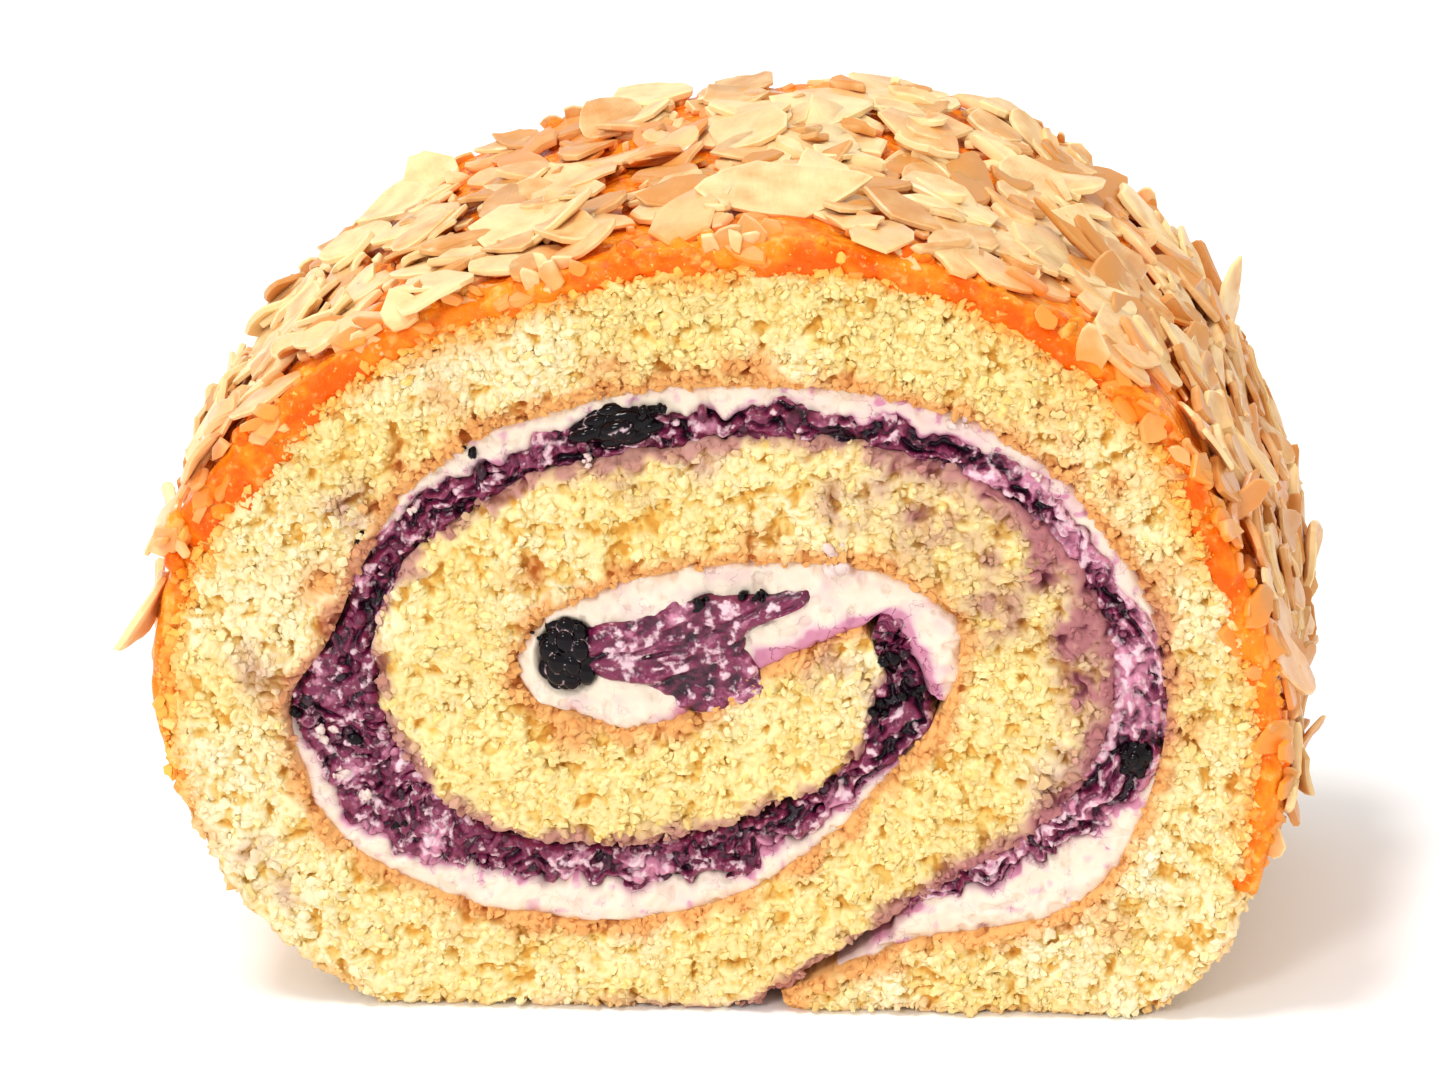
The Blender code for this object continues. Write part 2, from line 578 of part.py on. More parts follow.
def keep_largest_shell(thing):
    """Weld the mesh of thing and drop every loose scrap and every sealed hollow."""
    work = bmesh.new()
    work.from_mesh(thing.data)
    bmesh.ops.remove_doubles(work, verts=work.verts, dist=0.00001)
    bmesh.ops.triangulate(work, faces=work.faces)
    left = set(work.faces)
    shells = []
    while left:
        shell, edge = set(), [left.pop()]
        while edge:
            face = edge.pop()
            shell.add(face)
            near = {other for line in face.edges for other in line.link_faces if other in left}
            left -= near
            edge += near
        shells.append(shell)
    largest = max(shells, key=len)
    scraps = [face for shell in shells if shell is not largest for face in shell]
    bmesh.ops.delete(work, geom=scraps, context="FACES")
    work.to_mesh(thing.data)
    work.free()


def main():
    """Build every piece of the slice."""
    clear_scene()
    build_sponge()
    build_cream()
    build_jam()
    build_pocket()
    rooms = build_berries()
    places = {"berry_core": ("cream_core", "jam_core"), "berry_top": ("cream_top", "jam"),
              "berry_side": ("jam", "cream_tail")}
    for berry, neighbours in places.items():
        for name in neighbours:
            combine(bpy.data.objects[name], rooms[berry], "DIFFERENCE")
    build_coat()


main()
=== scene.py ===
"""The looks of a thick swiss roll slice: torn sponge crumb, cream, jam, berries, glaze and almonds.

Shapes are worked out in millimetres on the drawing of the front cut face, where x runs to the
right and z up, and y is the depth along the roll's axis. place() turns them into metres.
"""

import math

import bpy
import numpy as np
from bpy.props import FloatProperty, FloatVectorProperty, IntProperty, PointerProperty
from mathutils import Matrix


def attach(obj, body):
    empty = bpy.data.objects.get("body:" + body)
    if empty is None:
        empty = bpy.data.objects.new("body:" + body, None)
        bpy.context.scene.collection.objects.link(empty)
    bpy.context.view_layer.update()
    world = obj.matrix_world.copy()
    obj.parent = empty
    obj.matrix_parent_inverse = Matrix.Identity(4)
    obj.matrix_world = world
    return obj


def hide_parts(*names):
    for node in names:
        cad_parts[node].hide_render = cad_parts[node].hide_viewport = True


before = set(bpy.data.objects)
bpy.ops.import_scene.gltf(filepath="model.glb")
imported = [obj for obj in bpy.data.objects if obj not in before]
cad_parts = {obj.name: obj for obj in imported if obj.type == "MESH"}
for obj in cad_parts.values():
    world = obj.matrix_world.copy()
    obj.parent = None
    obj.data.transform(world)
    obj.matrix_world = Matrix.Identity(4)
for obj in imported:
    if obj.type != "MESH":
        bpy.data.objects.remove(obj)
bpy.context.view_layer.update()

bl_info = {
    "name": "Swiss Roll Slice",
    "version": (1, 0, 0),
    "blender": (4, 5, 0),
    "location": "3D View > Sidebar > Swiss Roll",
    "description": "Builds a slice of swiss roll with crumb, cream, jam, berries, glaze and almonds",
    "category": "Add Mesh",
}

MM = 0.001
SLICE_DEPTH = 51.0
CUT_FACE = SLICE_DEPTH / 2      # from the slice's middle to each cut face
SIDES = ((-1.0, 0), (1.0, 500))     # the way to each cut face, and what its noise seeds add
ROLL_CENTRE = (0.42, -0.28)     # x and y of the slice's middle on the drawing
NORMAL_REACH = 0.6              # stations to either side over which the sheet's direction is taken
CELL_SCATTER = 0.85             # how far the middles of grains are scattered, in cell sizes
WALL_STEP = 0.2                 # stations between two points of a line that a filling meets
FINE_STEPS = 2000               # points at which a run along the sheet is measured

# The sponge sheet, walked anticlockwise on the front cut face from its outer end under the roll
# to its inner end in the core: x and z on the inner, browned face, the sponge's thickness
# outwards from there, and the thickness of the cream spread on that face.
SHEET = np.array([
    (5.8, 1.6, 3.0, 0.0), (11.1, 4.2, 4.9, 0.4), (19.2, 7.5, 9.0, 2.6), (30.6, 9.9, 12.0, 5.2),
    (36.7, 14.0, 13.3, 4.6), (40.4, 21.3, 11.4, 0.9), (42.4, 28.8, 9.8, 0.0), (42.0, 37.4, 8.4, 0.0),
    (39.1, 44.5, 8.4, 1.2), (34.6, 51.7, 9.8, 1.5), (27.7, 57.5, 10.8, 2.2), (18.3, 61.2, 12.0, 3.0),
    (7.4, 62.6, 12.6, 2.1), (-3.0, 62.3, 11.9, 2.5), (-12.5, 60.4, 11.2, 1.2), (-21.0, 57.4, 11.5, 2.8),
    (-27.9, 52.1, 12.1, 1.2), (-32.5, 44.9, 14.0, 0.0), (-36.1, 37.1, 14.6, 0.0), (-40.0, 31.1, 12.4, 0.0),
    (-39.0, 24.0, 12.1, 1.6), (-35.6, 17.0, 11.8, 1.5), (-28.1, 12.3, 13.0, 2.5), (-19.2, 9.8, 12.0, 3.2),
    (-8.7, 9.2, 12.0, 2.8), (0.8, 11.3, 10.4, 2.2), (8.8, 16.4, 9.8, 1.8), (15.0, 22.7, 12.2, 0.8),
    (20.6, 29.5, 14.9, 0.0), (23.3, 36.0, 14.6, 4.3), (21.1, 41.6, 12.4, 4.2), (14.5, 44.7, 12.4, 3.4),
    (4.0, 45.2, 12.3, 3.0), (-5.5, 43.9, 12.0, 2.6), (-13.0, 41.0, 13.0, 1.6), (-17.9, 36.3, 13.6, 1.0),
    (-17.0, 31.7, 13.8, 1.0), (-11.9, 29.6, 13.2, 1.5), (-6.8, 28.7, 11.6, 3.0), (-0.3, 31.5, 12.0, 2.0),
    (7.4, 36.3, 12.6, 0.5), (14.3, 39.2, 5.4, 0.0),
])
INNER_END = len(SHEET) - 1.0
SECOND_TURN = 24.0              # from here the sheet's outer face lies inside the roll
POCKET_END = 35.0               # where the sheet turns back under the core's hollow
POCKET_TIP = 36.2               # the hollow's left end
POCKET_START, POCKET_MOUTH = 28.33, 30.66

# Stretches of the sheet that are modelled as one piece each, and rows of points along the
# roll's axis on each one's outer face: many where that face can be seen.
SPONGE_STRETCHES = {
    "sponge_foot_right": (0.0, 5.2, 100),
    "sponge_right": (5.2, 11.5, 4),
    "sponge_left": (11.5, 19.4, 4),
    "sponge_foot_left": (19.4, 26.0, 100),
    "sponge_turn": (26.0, 33.0, 4),
    "sponge_core": (33.0, INNER_END, 4),
}
CREAM_STRETCHES = {"cream_tail": (1.33, 5.33), "cream_top": (7.33, 16.66), "cream_bottom": (19.33, 27.33)}
JAM_STRETCH = (2.0, 30.66)
COAT_STRETCH = (4.6, 19.8)
GLAZE_FOOT = (1.5, 1.4)         # how far the rims reach over the sponge, and how much more at the left
# Stretches of the sheet over which something shows: the stations at which it starts, is whole,
# begins to fade and ends.
REACHES_FURTHER = (16.0, 17.0, 18.0, 18.8)      # the glaze's rims at the left
COATED = (4.4, 5.4, 19.6, 20.4)
BARE_LEFT = (19.2, 20.0, 23.6, 24.6)            # the sponge's outside below the coat
JAM_ON_SKIN = ((5.4, 6.0, 7.4, 8.2), (16.2, 16.8, 19.4, 20.2))      # no cream lies between
OVER_THE_ROLL = 168.0           # the coat's run from the right foot to the left foot

# The glaze: station of the sheet, glaze thickness there.
GLAZE = np.array([
    (4.6, 0.8), (5.2, 1.4), (7.0, 1.8), (10.0, 2.0), (13.0, 2.2), (15.5, 2.6), (16.6, 3.4),
    (17.3, 4.0), (18.2, 2.8), (19.1, 2.0), (19.8, 0.9),
])

# The jam in the core, on the front cut face, with its tongue towards the right.
POCKET_JAM = np.array([
    (-11.1, 34.2), (-5.7, 32.8), (-1.6, 30.4), (5.0, 32.6), (3.1, 37.8), (8.7, 41.2),
    (8.5, 42.6), (2.0, 41.8), (-3.0, 41.8), (-7.5, 39.4), (-11.0, 38.7),
])
POCKET_JAM_MIDDLE = (-2.0, 37.4)
POCKET_JAM_RIM = 1.05           # how far the core's jam reaches, in shares of its outline
JAM_MIDDLE, JAM_RADIUS = (0.0, 34.0), 32.0

# The berries' beads, in shares of a berry's radii: how far out they sit, how large they are and
# how deep the dents between them go. Then the rings and points of a berry's mesh.
BEAD_REACH, BEAD_SIZE, BEAD_FLOOR = 0.74, 0.28, 0.76
BERRY_MESH = (88, 150)

BERRIES = {
    "berry_core": {"centre": (-13.5, 35.8), "inset": 1.0, "radii": (3.1, 2.2, 3.9), "lean": 12.0,
                   "shows": 1.12, "beads": 34, "jitter": 0.1},
    "berry_top": {"centre": (-8.2, 58.6), "inset": 1.2, "radii": (4.8, 2.3, 2.2), "lean": 14.0,
                  "shows": 0.8, "beads": 30, "jitter": 0.3},
    "berry_side": {"centre": (39.6, 26.2), "inset": 0.9, "radii": (1.8, 1.7, 2.2), "lean": -20.0,
                   "shows": 0.85, "beads": 20, "jitter": 0.2},
}

# Jam stains on the crumb: x, z, radius and strength on the front cut face.
STAINS = np.array([
    (21.6, 49.9, 5.5, 0.8), (18.4, 54.7, 4.5, 0.8), (31.3, 46.6, 5.5, 1.0), (34.6, 39.0, 4.6, 1.1),
    (27.6, 51.9, 5.0, 0.9), (-33.6, 50.6, 3.2, 0.5), (-0.6, 56.0, 3.0, 0.5), (27.0, 41.1, 4.5, 0.6),
    (15.8, 31.9, 4.0, 0.6), (-42.6, 34.1, 4.0, 0.4), (-43.6, 14.7, 3.4, 0.4), (33.0, 23.1, 4.0, 0.8),
    (-6.2, 54.3, 3.5, 0.6), (24.0, 54.2, 5.0, 0.8), (35.6, 33.0, 4.2, 1.0), (13.0, 51.5, 3.5, 0.55),
    (25.0, 46.5, 4.0, 0.6), (11.0, 35.0, 3.0, 0.5), (34.8, 28.0, 3.6, 0.9), (-31.0, 45.5, 2.4, 0.5),
    (-40.5, 12.0, 2.6, 0.4), (16.0, 37.0, 2.6, 0.8),
])
# Glaze soaked into the crumb beside the coat: x, z, radius and strength.
SOAKS = np.array([
    (-37.2, 64.0, 3.0, 1.0), (-37.4, 58.4, 1.6, 0.8), (-45.0, 54.0, 3.4, 0.9), (-48.6, 47.1, 3.4, 0.8),
    (-51.5, 41.0, 3.0, 0.7), (-51.8, 34.0, 3.0, 0.6), (-26.1, 71.2, 3.0, 0.5), (-13.1, 73.4, 4.0, 0.7),
    (20.1, 75.0, 4.0, 0.9), (9.1, 76.0, 4.0, 0.8), (-2.8, 77.6, 4.0, 0.8), (32.9, 72.4, 4.0, 0.8),
    (41.0, 60.8, 3.6, 0.8), (48.6, 48.2, 3.4, 0.8), (50.5, 36.4, 3.0, 0.7), (50.8, 20.0, 3.0, 0.6),
])

# Browned crumb off the skin: x, z, radius and strength.
BROWNED = np.array([
    (6.9, 1.4, 2.8, 1.3), (-13.0, 29.4, 4.2, 1.1), (-25.5, 11.6, 4.4, 1.1), (-36.4, 42.2, 3.0, 1.1),
    (-40.4, 30.5, 3.0, 1.0), (32.6, 59.4, 3.0, 0.8), (4.5, 46.6, 3.4, 0.7), (16.5, 43.6, 3.6, 0.7),
    (43.6, 34.5, 2.4, 0.9), (49.0, 4.0, 4.0, 0.5), (-9.0, 64.0, 3.0, 0.6), (27.0, 9.0, 3.0, 0.6),
    (38.0, 53.5, 2.6, 0.8), (42.6, 45.0, 2.8, 1.0), (45.0, 29.0, 2.2, 0.8), (4.0, 64.4, 3.4, 1.0),
    (12.0, 62.6, 3.0, 0.7), (-24.0, 61.0, 3.0, 0.6), (20.0, 40.6, 2.6, 1.0), (-17.0, 44.0, 2.6, 0.8),
    (-38.4, 24.0, 2.6, 1.0), (-33.0, 16.6, 2.8, 1.0), (-29.0, 55.4, 2.6, 0.8), (37.5, 9.0, 2.8, 0.4),
])
# Jam mixed with much cream: x, z, radius and strength.
LILAC = np.array([
    (-14.0, 14.8, 2.8, 0.8), (-7.0, 14.0, 2.8, 0.8), (5.6, 17.6, 2.4, 0.7), (12.0, 22.0, 2.0, 0.5),
    (-34.0, 23.5, 2.6, 0.55), (-27.0, 16.4, 2.4, 0.6), (-37.5, 33.0, 1.8, 0.4), (32.0, 50.0, 3.0, 0.4),
    (39.5, 37.5, 3.4, 0.4), (41.0, 31.0, 3.0, 0.3), (0.0, 59.6, 2.4, 0.35),
])
# Bits on the front cut face: x, z and radius of berry skin, and of cream.
SKIN_BITS = np.array([
    (-0.5, 41.3, 1.1), (3.3, 41.4, 0.9), (4.9, 42.0, 0.7), (17.2, 36.2, 1.2), (19.5, 33.0, 1.0),
    (-5.8, 59.8, 1.2), (-4.0, 60.2, 0.8), (-16.2, 37.8, 0.5), (-33.0, 47.2, 0.7),
    (-22.0, 56.0, 0.6), (15.6, 30.6, 0.8), (33.0, 56.0, 0.7), (-38.6, 30.0, 1.0),
    (-34.0, 27.0, 0.9), (-30.2, 18.4, 0.8),
])
CREAM_BITS = np.array([
    (11.7, 45.6, 1.5), (11.9, 47.3, 1.0), (-11.0, 55.6, 0.6), (-27.6, 50.2, 0.6), (-37.0, 27.5, 0.9),
    (-35.4, 23.8, 0.8), (-33.2, 21.6, 0.9), (24.0, 59.8, 0.8), (30.6, 54.0, 0.7),
])
LUMPS_PER_BIT, LUMPS_PER_BLOB = 5, 6
RIM_GRAINS = 1300               # grains where the sponge meets the coat, on each cut face

# Blobs of glaze at the rims: share of the way over the coat, from the right foot, and radius.
BLOBS = np.array([
    (0.03, 1.5), (0.08, 2.0), (0.13, 1.8), (0.18, 2.2), (0.23, 1.6), (0.28, 2.0), (0.32, 1.7),
    (0.36, 2.1), (0.40, 1.8), (0.43, 2.3), (0.47, 1.7), (0.52, 1.9), (0.57, 1.8), (0.62, 1.6),
    (0.67, 1.5), (0.715, 2.3), (0.745, 2.0), (0.79, 2.0), (0.825, 2.4), (0.86, 2.4), (0.89, 1.7),
])

# Where the glaze has risen over the flakes or lies bare: share of the way from the right foot to
# the left foot, depth from the middle, radius in millimetres and strength.
POOLS = np.array([
    (0.57, 4.0, 9.0, 0.9), (0.56, -21.0, 8.0, 1.0), (0.47, -23.5, 6.0, 1.0), (0.365, -23.0, 7.0, 1.0),
    (0.39, -13.0, 3.0, 0.8), (0.64, 14.0, 7.0, 0.8), (0.50, 18.0, 5.0, 0.6), (0.30, -22.0, 5.0, 0.9),
    (0.21, -22.5, 7.0, 0.9), (0.12, -21.0, 7.0, 0.7), (0.70, -20.0, 6.0, 0.8), (0.80, -22.0, 6.0, 0.9),
    (0.735, -25.0, 4.5, 1.0), (0.84, -25.0, 5.0, 0.9), (0.405, -25.0, 3.0, 1.0), (0.25, -25.0, 2.5, 0.8),
    (0.44, 8.0, 4.0, 0.5), (0.33, 12.0, 6.0, 0.5), (0.18, 10.0, 8.0, 0.5), (0.86, 5.0, 9.0, 0.5),
])

# The almond flakes, laid as on the solids: the large ones first, then an even spread.
SPREAD_FLAKES = 180
FLAKE_LENGTHS = (12.5, 6.0)
FLAKE_SEED = 55
FLAKE_SIZES, FLAKE_WIDTHS, FLAKE_LIFTS = (0.8, 1.1), (0.4, 0.75), (2.0, 24.0)
FLAKE_MARGIN = 2.5
FLAKE_BEVEL = ((1.0, 0.45), (0.985, -0.7), (0.9, -1.0))     # share of the outline, level
SPREAD_SHARES = (0.03, 0.97)
ROLL_AXIS = np.array([0.0, 1.0, 0.0])
SHARE_STEP = 0.004              # share of the way over which the coat's direction is taken
LARGE_HEIGHT = 1.2              # how high the large flakes lie on the glaze
RIM_SHARE = 0.65                # share of the rims' lumps and flakes that the front rim gets
EVEN_STEPS = (0.7548776662, 0.5698402910)
# Share of the way from the right foot to the left foot, depth from the middle, length, width,
# heading on the surface and lift of one end, in degrees.
LARGE_FLAKES = [
    (0.495, -15.5, 9.0, 16.5, 90.0, 20.0), (0.545, -13.0, 6.0, 10.0, 100.0, 16.0),
    (0.415, 0.5, 9.5, 6.0, 60.0, 14.0), (0.225, -20.5, 9.0, 3.0, 80.0, 55.0),
    (0.080, -18.5, 7.0, 6.0, 30.0, 35.0), (0.705, 21.0, 8.0, 8.0, 80.0, 38.0),
    (0.365, -6.0, 12.5, 2.6, 12.0, 8.0), (0.345, -3.0, 11.0, 2.4, 5.0, 12.0),
    (0.440, -16.5, 9.0, 6.0, 20.0, 12.0), (0.660, -11.5, 11.0, 4.5, -20.0, 10.0),
    (0.735, 10.0, 10.0, 6.5, 30.0, 14.0), (0.600, 18.0, 10.0, 7.0, 70.0, 16.0),
]

# The photograph's view, in degrees and millimetres: height and side of the camera, its roll, and
# how large and where the slice shows in a picture of PICTURE pixels.
PICTURE = (1440, 1082)
VIEW_HEIGHT, VIEW_SIDE, VIEW_ROLL = 20.0, 6.0, -1.4
FOCAL_PIXELS = 7000.0
PIXELS_PER_MM = 10.5
FOOT_PIXEL = (720, 1010)        # where the middle of the front face's foot shows
SENSOR_MM = 36.0
CAMERA_CLIP = (0.05, 20.0)      # metres
FLOOR_HALF = 3.0                # metres
SURROUND_STRENGTH = 0.84
# The lights: the way to each, its strength and how many degrees wide it is.
LIGHTS = {"key": ((-0.38, -0.2, 1.3), 1.4, 14.0), "front": ((-0.4, -1.0, 0.7), 0.85, 12.0)}


def screen(red, green, blue):
    """Linear light of a screen colour given from 0 to 255."""
    share = np.array([red, green, blue]) / 255.0
    light = np.where(share <= 0.04045, share / 12.92, ((share + 0.055) / 1.055) ** 2.4)
    return tuple(float(part) for part in light)


def length_property(name, text, millimetres):
    """A length that a user can change, shown in the scene's own unit."""
    return FloatProperty(name=name, description=text, default=millimetres * MM, min=0.0, precision=5,
                         unit="LENGTH", subtype="DISTANCE")


def count_property(name, text, count):
    """A number of pieces that a user can change."""
    return IntProperty(name=name, description=text, default=count, min=0)


def colour_property(name, text, *levels):
    """A colour that a user can change, given as it looks on a screen from 0 to 255."""
    return FloatVectorProperty(name=name, description=text, default=screen(*levels), size=3,
                               min=0.0, max=1.0, subtype="COLOR")


class SliceSizes(bpy.types.PropertyGroup):
    """Sizes of the crumb, the fillings' surfaces and the toppings."""
    crumb_cell: length_property("Crumb mesh", "Spacing of the mesh on the torn crumb", 0.2)
    crumb_grain: length_property("Crumb grain", "Width of one rounded grain of crumb", 0.88)
    crumb_height: length_property("Crumb height", "How far the grains stand out", 0.58)
    filling_cell: length_property("Filling mesh", "Spacing of the mesh on cream and jam", 0.24)
    glaze_cell: length_property("Glaze mesh", "Spacing of the mesh on the glaze", 0.55)
    flake_thickness: length_property("Flake thickness", "Thickness of an almond flake", 0.72)
    more_flakes: count_property("More flakes", "Flakes laid over the first ones", 400)
    slats: count_property("Slats", "Narrow almond slats", 105)
    chips: count_property("Chips", "Small bits of broken almond", 1000)
    rim_flakes: count_property("Rim flakes", "Flakes set into the coat's two rims", 320)
    nuggets: count_property("Nuggets", "Glazed lumps along the coat's two rims", 330)
    crumbs: count_property("Crumbs", "Torn grains on each cut face", 11000)
    foot_crumbs: count_property("Foot crumbs", "Grains on the sponge's bare outside", 2600)
    jam_beads: count_property("Jam beads", "Small round lumps in the jam", 380)


class SliceColours(bpy.types.PropertyGroup):
    """Colours of each finish in even white light, some of them painted shade or painted highlights."""
    crumb: colour_property("Crumb", "Raised grains of the sponge", 246, 224, 158)
    crumb_pale: colour_property("Pale crumb", "Palest patches of the sponge", 250, 236, 198)
    # Painted shade: the crumb's colour partway down from the raised grains into the hollows.
    crumb_half_shade: colour_property("Middle crumb", "Crumb between the grains and the hollows", 239, 204, 116)
    # Painted shade in the hollows between the grains.
    crumb_hollow_shade: colour_property("Deep crumb", "Hollows between the grains", 228, 170, 74)
    crust: colour_property("Browned skin", "The sheet's browned face", 234, 172, 104)
    # Painted shade in the hollows of the browned face.
    crust_hollow_shade: colour_property("Deep browned skin", "Hollows of the browned face", 182, 98, 40)
    stain: colour_property("Jam stain", "Crumb that has soaked up jam", 182, 118, 120)
    # Painted shade in the hollows of the stained crumb.
    stain_hollow_shade: colour_property("Deep jam stain", "Hollows of the stained crumb", 132, 66, 78)
    soak: colour_property("Glaze soak", "Crumb that has soaked up glaze", 249, 184, 84)
    # Painted shade in the hollows of the soaked crumb.
    soak_hollow_shade: colour_property("Deep glaze soak", "Hollows of the soaked crumb", 232, 118, 22)
    cream: colour_property("Cream", "Whipped cream", 241, 224, 203)
    cream_tint: colour_property("Tinted cream", "Cream mixed with a little jam", 222, 172, 188)
    # Partly flecks of cream in the jam and partly painted glints on it; also the painted highlight lines
    # where a berry's beads meet.
    glint_and_cream_fleck: colour_property("Cream flecks", "Flecks of cream in the jam", 242, 208, 216)
    jam: colour_property("Jam", "The jam's body", 122, 34, 72)
    # Painted shade in the jam's low places, and its dark patches at random; also a berry skin's tone where
    # it has bloom.
    jam_dark_and_shade: colour_property("Deep jam", "Dark berry skin in the jam", 32, 6, 24)
    # Jam mixed with cream, and also painted highlights on the jam's raised pulp.
    jam_light_and_highlight: colour_property("Light jam", "Jam mixed with cream", 208, 136, 162)
    berry: colour_property("Berry", "The whole berries", 12, 5, 10)
    # Clearer glaze, and also the glaze's painted highlights and glints.
    glaze_clear_and_highlight: colour_property("Clear glaze", "The glaze where it is clearest", 252, 190, 100)
    glaze: colour_property("Glaze", "The glaze where it is thin", 251, 146, 30)
    glaze_deep: colour_property("Deep glaze", "The glaze where it is thick", 240, 96, 1)
    almond: colour_property("Almond", "Pale face of a flake", 248, 218, 160)
    # Toasted almond, and also painted shade on the flakes towards the right foot.
    almond_toast_and_shade: colour_property("Toasted almond", "Toasted parts of a flake", 208, 140, 66)
    almond_glazed: colour_property("Glazed almond", "Flakes under the glaze", 246, 146, 44)


# ---------------------------------------------------------------- the rolled sheet


def smooth_curve(points, stations):
    """Points of the Catmull-Rom curve through points, at stations counted in points."""
    points = np.asarray(points, dtype=float)
    stations = np.clip(stations, 0.0, len(points) - 1.0)
    first = np.minimum(np.floor(stations).astype(int), len(points) - 2)
    t = (stations - first)[:, None]
    padded = np.vstack([2 * points[0] - points[1], points, 2 * points[-1] - points[-2]])
    a, b, c, d = (padded[first + k] for k in range(4))
    return 0.5 * (2 * b + (c - a) * t + (2 * a - 5 * b + 4 * c - d) * t**2
                  + (3 * b - a - 3 * c + d) * t**3)


def closed_curve(points, count):
    """Count points, evenly spread over the closed Catmull-Rom curve through points."""
    ring = np.vstack([points[-1:], points, points[:2]])
    return smooth_curve(ring, 1.0 + np.arange(count) * len(points) / count)


def skin(stations):
    """The sheet's inner face at stations: points, and unit normals out of the roll."""
    points = smooth_curve(SHEET[:, :2], stations)
    along = (smooth_curve(SHEET[:, :2], stations + NORMAL_REACH)
             - smooth_curve(SHEET[:, :2], stations - NORMAL_REACH))
    along /= np.linalg.norm(along, axis=1)[:, None]
    return points, np.column_stack([along[:, 1], -along[:, 0]])


def sponge_thickness(stations):
    """The sheet's thickness, less what the board under the roll has pressed flat."""
    points, outward = skin(stations)
    thickness = smooth_curve(SHEET[:, 2:3], stations)[:, 0]
    downward = np.maximum(-outward[:, 1], 1e-6)
    to_board = np.where(outward[:, 1] < 0, points[:, 1] / downward, np.inf)
    return np.minimum(thickness, to_board)


def outer_face(stations, beyond=0.0):
    """The sheet's outer face at stations, or a line that lies beyond it."""
    points, outward = skin(stations)
    return points + outward * (sponge_thickness(stations) + beyond)[:, None]


def room(points, directions, wall):
    """How far each point can move along its direction before it meets the wall's line."""
    start, end = wall[:-1], wall[1:]
    side = end - start
    cross = directions[:, :1] * side[:, 1] - directions[:, 1:] * side[:, 0]
    cross = np.where(np.abs(cross) < 1e-9, 1e-9, cross)
    away = start[None] - points[:, None]
    reach = (away[..., 0] * side[:, 1] - away[..., 1] * side[:, 0]) / cross
    place_on_side = (away[..., 0] * directions[:, 1:] - away[..., 1] * directions[:, :1]) / cross
    meets = (reach > 1e-3) & (place_on_side >= -1e-6) & (place_on_side <= 1.0 + 1e-6)
    return np.where(meets, reach, np.inf).min(axis=1)


def filling_room(stations):
    """The filling's whole thickness at stations, from the skin to the next winding."""
    turn = np.arange(SECOND_TURN, INNER_END + WALL_STEP, WALL_STEP)
    core, _ = skin(np.arange(INNER_END, POCKET_END, -WALL_STEP))
    points, outward = skin(stations)
    return room(points, -outward, np.vstack([outer_face(turn), core]))


def spread_cream(stations):
    """The cream's thickness at stations, in a straight line from one to the next."""
    return np.interp(stations, np.arange(len(SHEET)), SHEET[:, 3])


def glaze_thickness(stations):
    """The glaze's thickness at stations."""
    return np.interp(stations, GLAZE[:, 0], GLAZE[:, 1])


def running_total(steps):
    """The sum of the steps before each point of a line."""
    return np.concatenate([[0.0], np.cumsum(steps)])


def sheet_middle(first, last):
    """Stations close together, the line midway between the sheet's faces, and its thickness."""
    fine = np.linspace(first, last, FINE_STEPS)
    points, outward = skin(fine)
    thickness = sponge_thickness(fine)
    return fine, points + outward * thickness[:, None] / 2, thickness


def even_stations(first, last, cell):
    """Stations from first to last that lie a cell apart on the middle of the sheet."""
    fine, middle, _ = sheet_middle(first, last)
    run = running_total(np.linalg.norm(np.diff(middle, axis=0), axis=1))
    return np.interp(np.linspace(0.0, run[-1], max(3, round(run[-1] / cell))), run, fine)


def even_run(line, count):
    """Count points a like distance apart along a line of points."""
    run = running_total(np.linalg.norm(np.diff(line, axis=0), axis=1))
    places = np.linspace(0.0, run[-1], count)
    return np.column_stack([np.interp(places, run, line[:, axis]) for axis in range(line.shape[1])])


def spots_on_sheet(count, first, last, draw):
    """Random stations and shares of the thickness, evenly spread over the cut face."""
    fine, middle, thickness = sheet_middle(first, last)
    area = np.linalg.norm(np.diff(middle, axis=0), axis=1) * (thickness[1:] + thickness[:-1]) / 2
    total = running_total(area)
    return np.interp(draw.uniform(0.0, total[-1], count), total, fine), draw.uniform(0.0, 1.0, count)


# ---------------------------------------------------------------- randomness on the surface


def lattice_number(cells, seed):
    """A number from 0 to 1 for each row of whole numbers.

    The row's numbers are multiplied by large odd ones and their bits folded onto each other, so
    the same row and seed always give the same number.
    """
    mixed = np.full(cells.shape[:-1], (seed * 2654435761 + 374761393) % 2**32, dtype=np.uint32)
    for axis, odd in zip(range(cells.shape[-1]), (0x8DA6B343, 0xD8163841, 0xCB1AB31F)):
        mixed = (mixed ^ cells[..., axis].astype(np.uint32)) * np.uint32(odd)
        mixed ^= mixed >> np.uint32(15)
    mixed = mixed * np.uint32(0x2C1B3C6D)
    mixed ^= mixed >> np.uint32(13)
    return mixed * (1.0 / 2**32)


def corners_of(steps, axes):
    """Every row of axes whole numbers taken from steps."""
    return np.stack(np.meshgrid(*[steps] * axes, indexing="ij"), -1).reshape(-1, axes)


def swells(points, size, seed):
    """Smooth noise from -1 to 1: random numbers on a lattice of that size, blended between."""
    scaled = points / size
    base = np.floor(scaled).astype(np.int64)
    t = scaled - base
    t = t * t * (3.0 - 2.0 * t)
    total = np.zeros(len(points))
    for corner in corners_of([0, 1], points.shape[1]):
        weight = np.prod(np.where(corner, t, 1.0 - t), axis=1)
        total += weight * lattice_number(base + corner, seed)
    return total * 2.0 - 1.0


def mixed_swells(points, seed, *parts):
    """Swells added up, each part a height and a size, with the seeds counted on from seed."""
    return sum(height * swells(points, size, seed + k) for k, (height, size) in enumerate(parts))


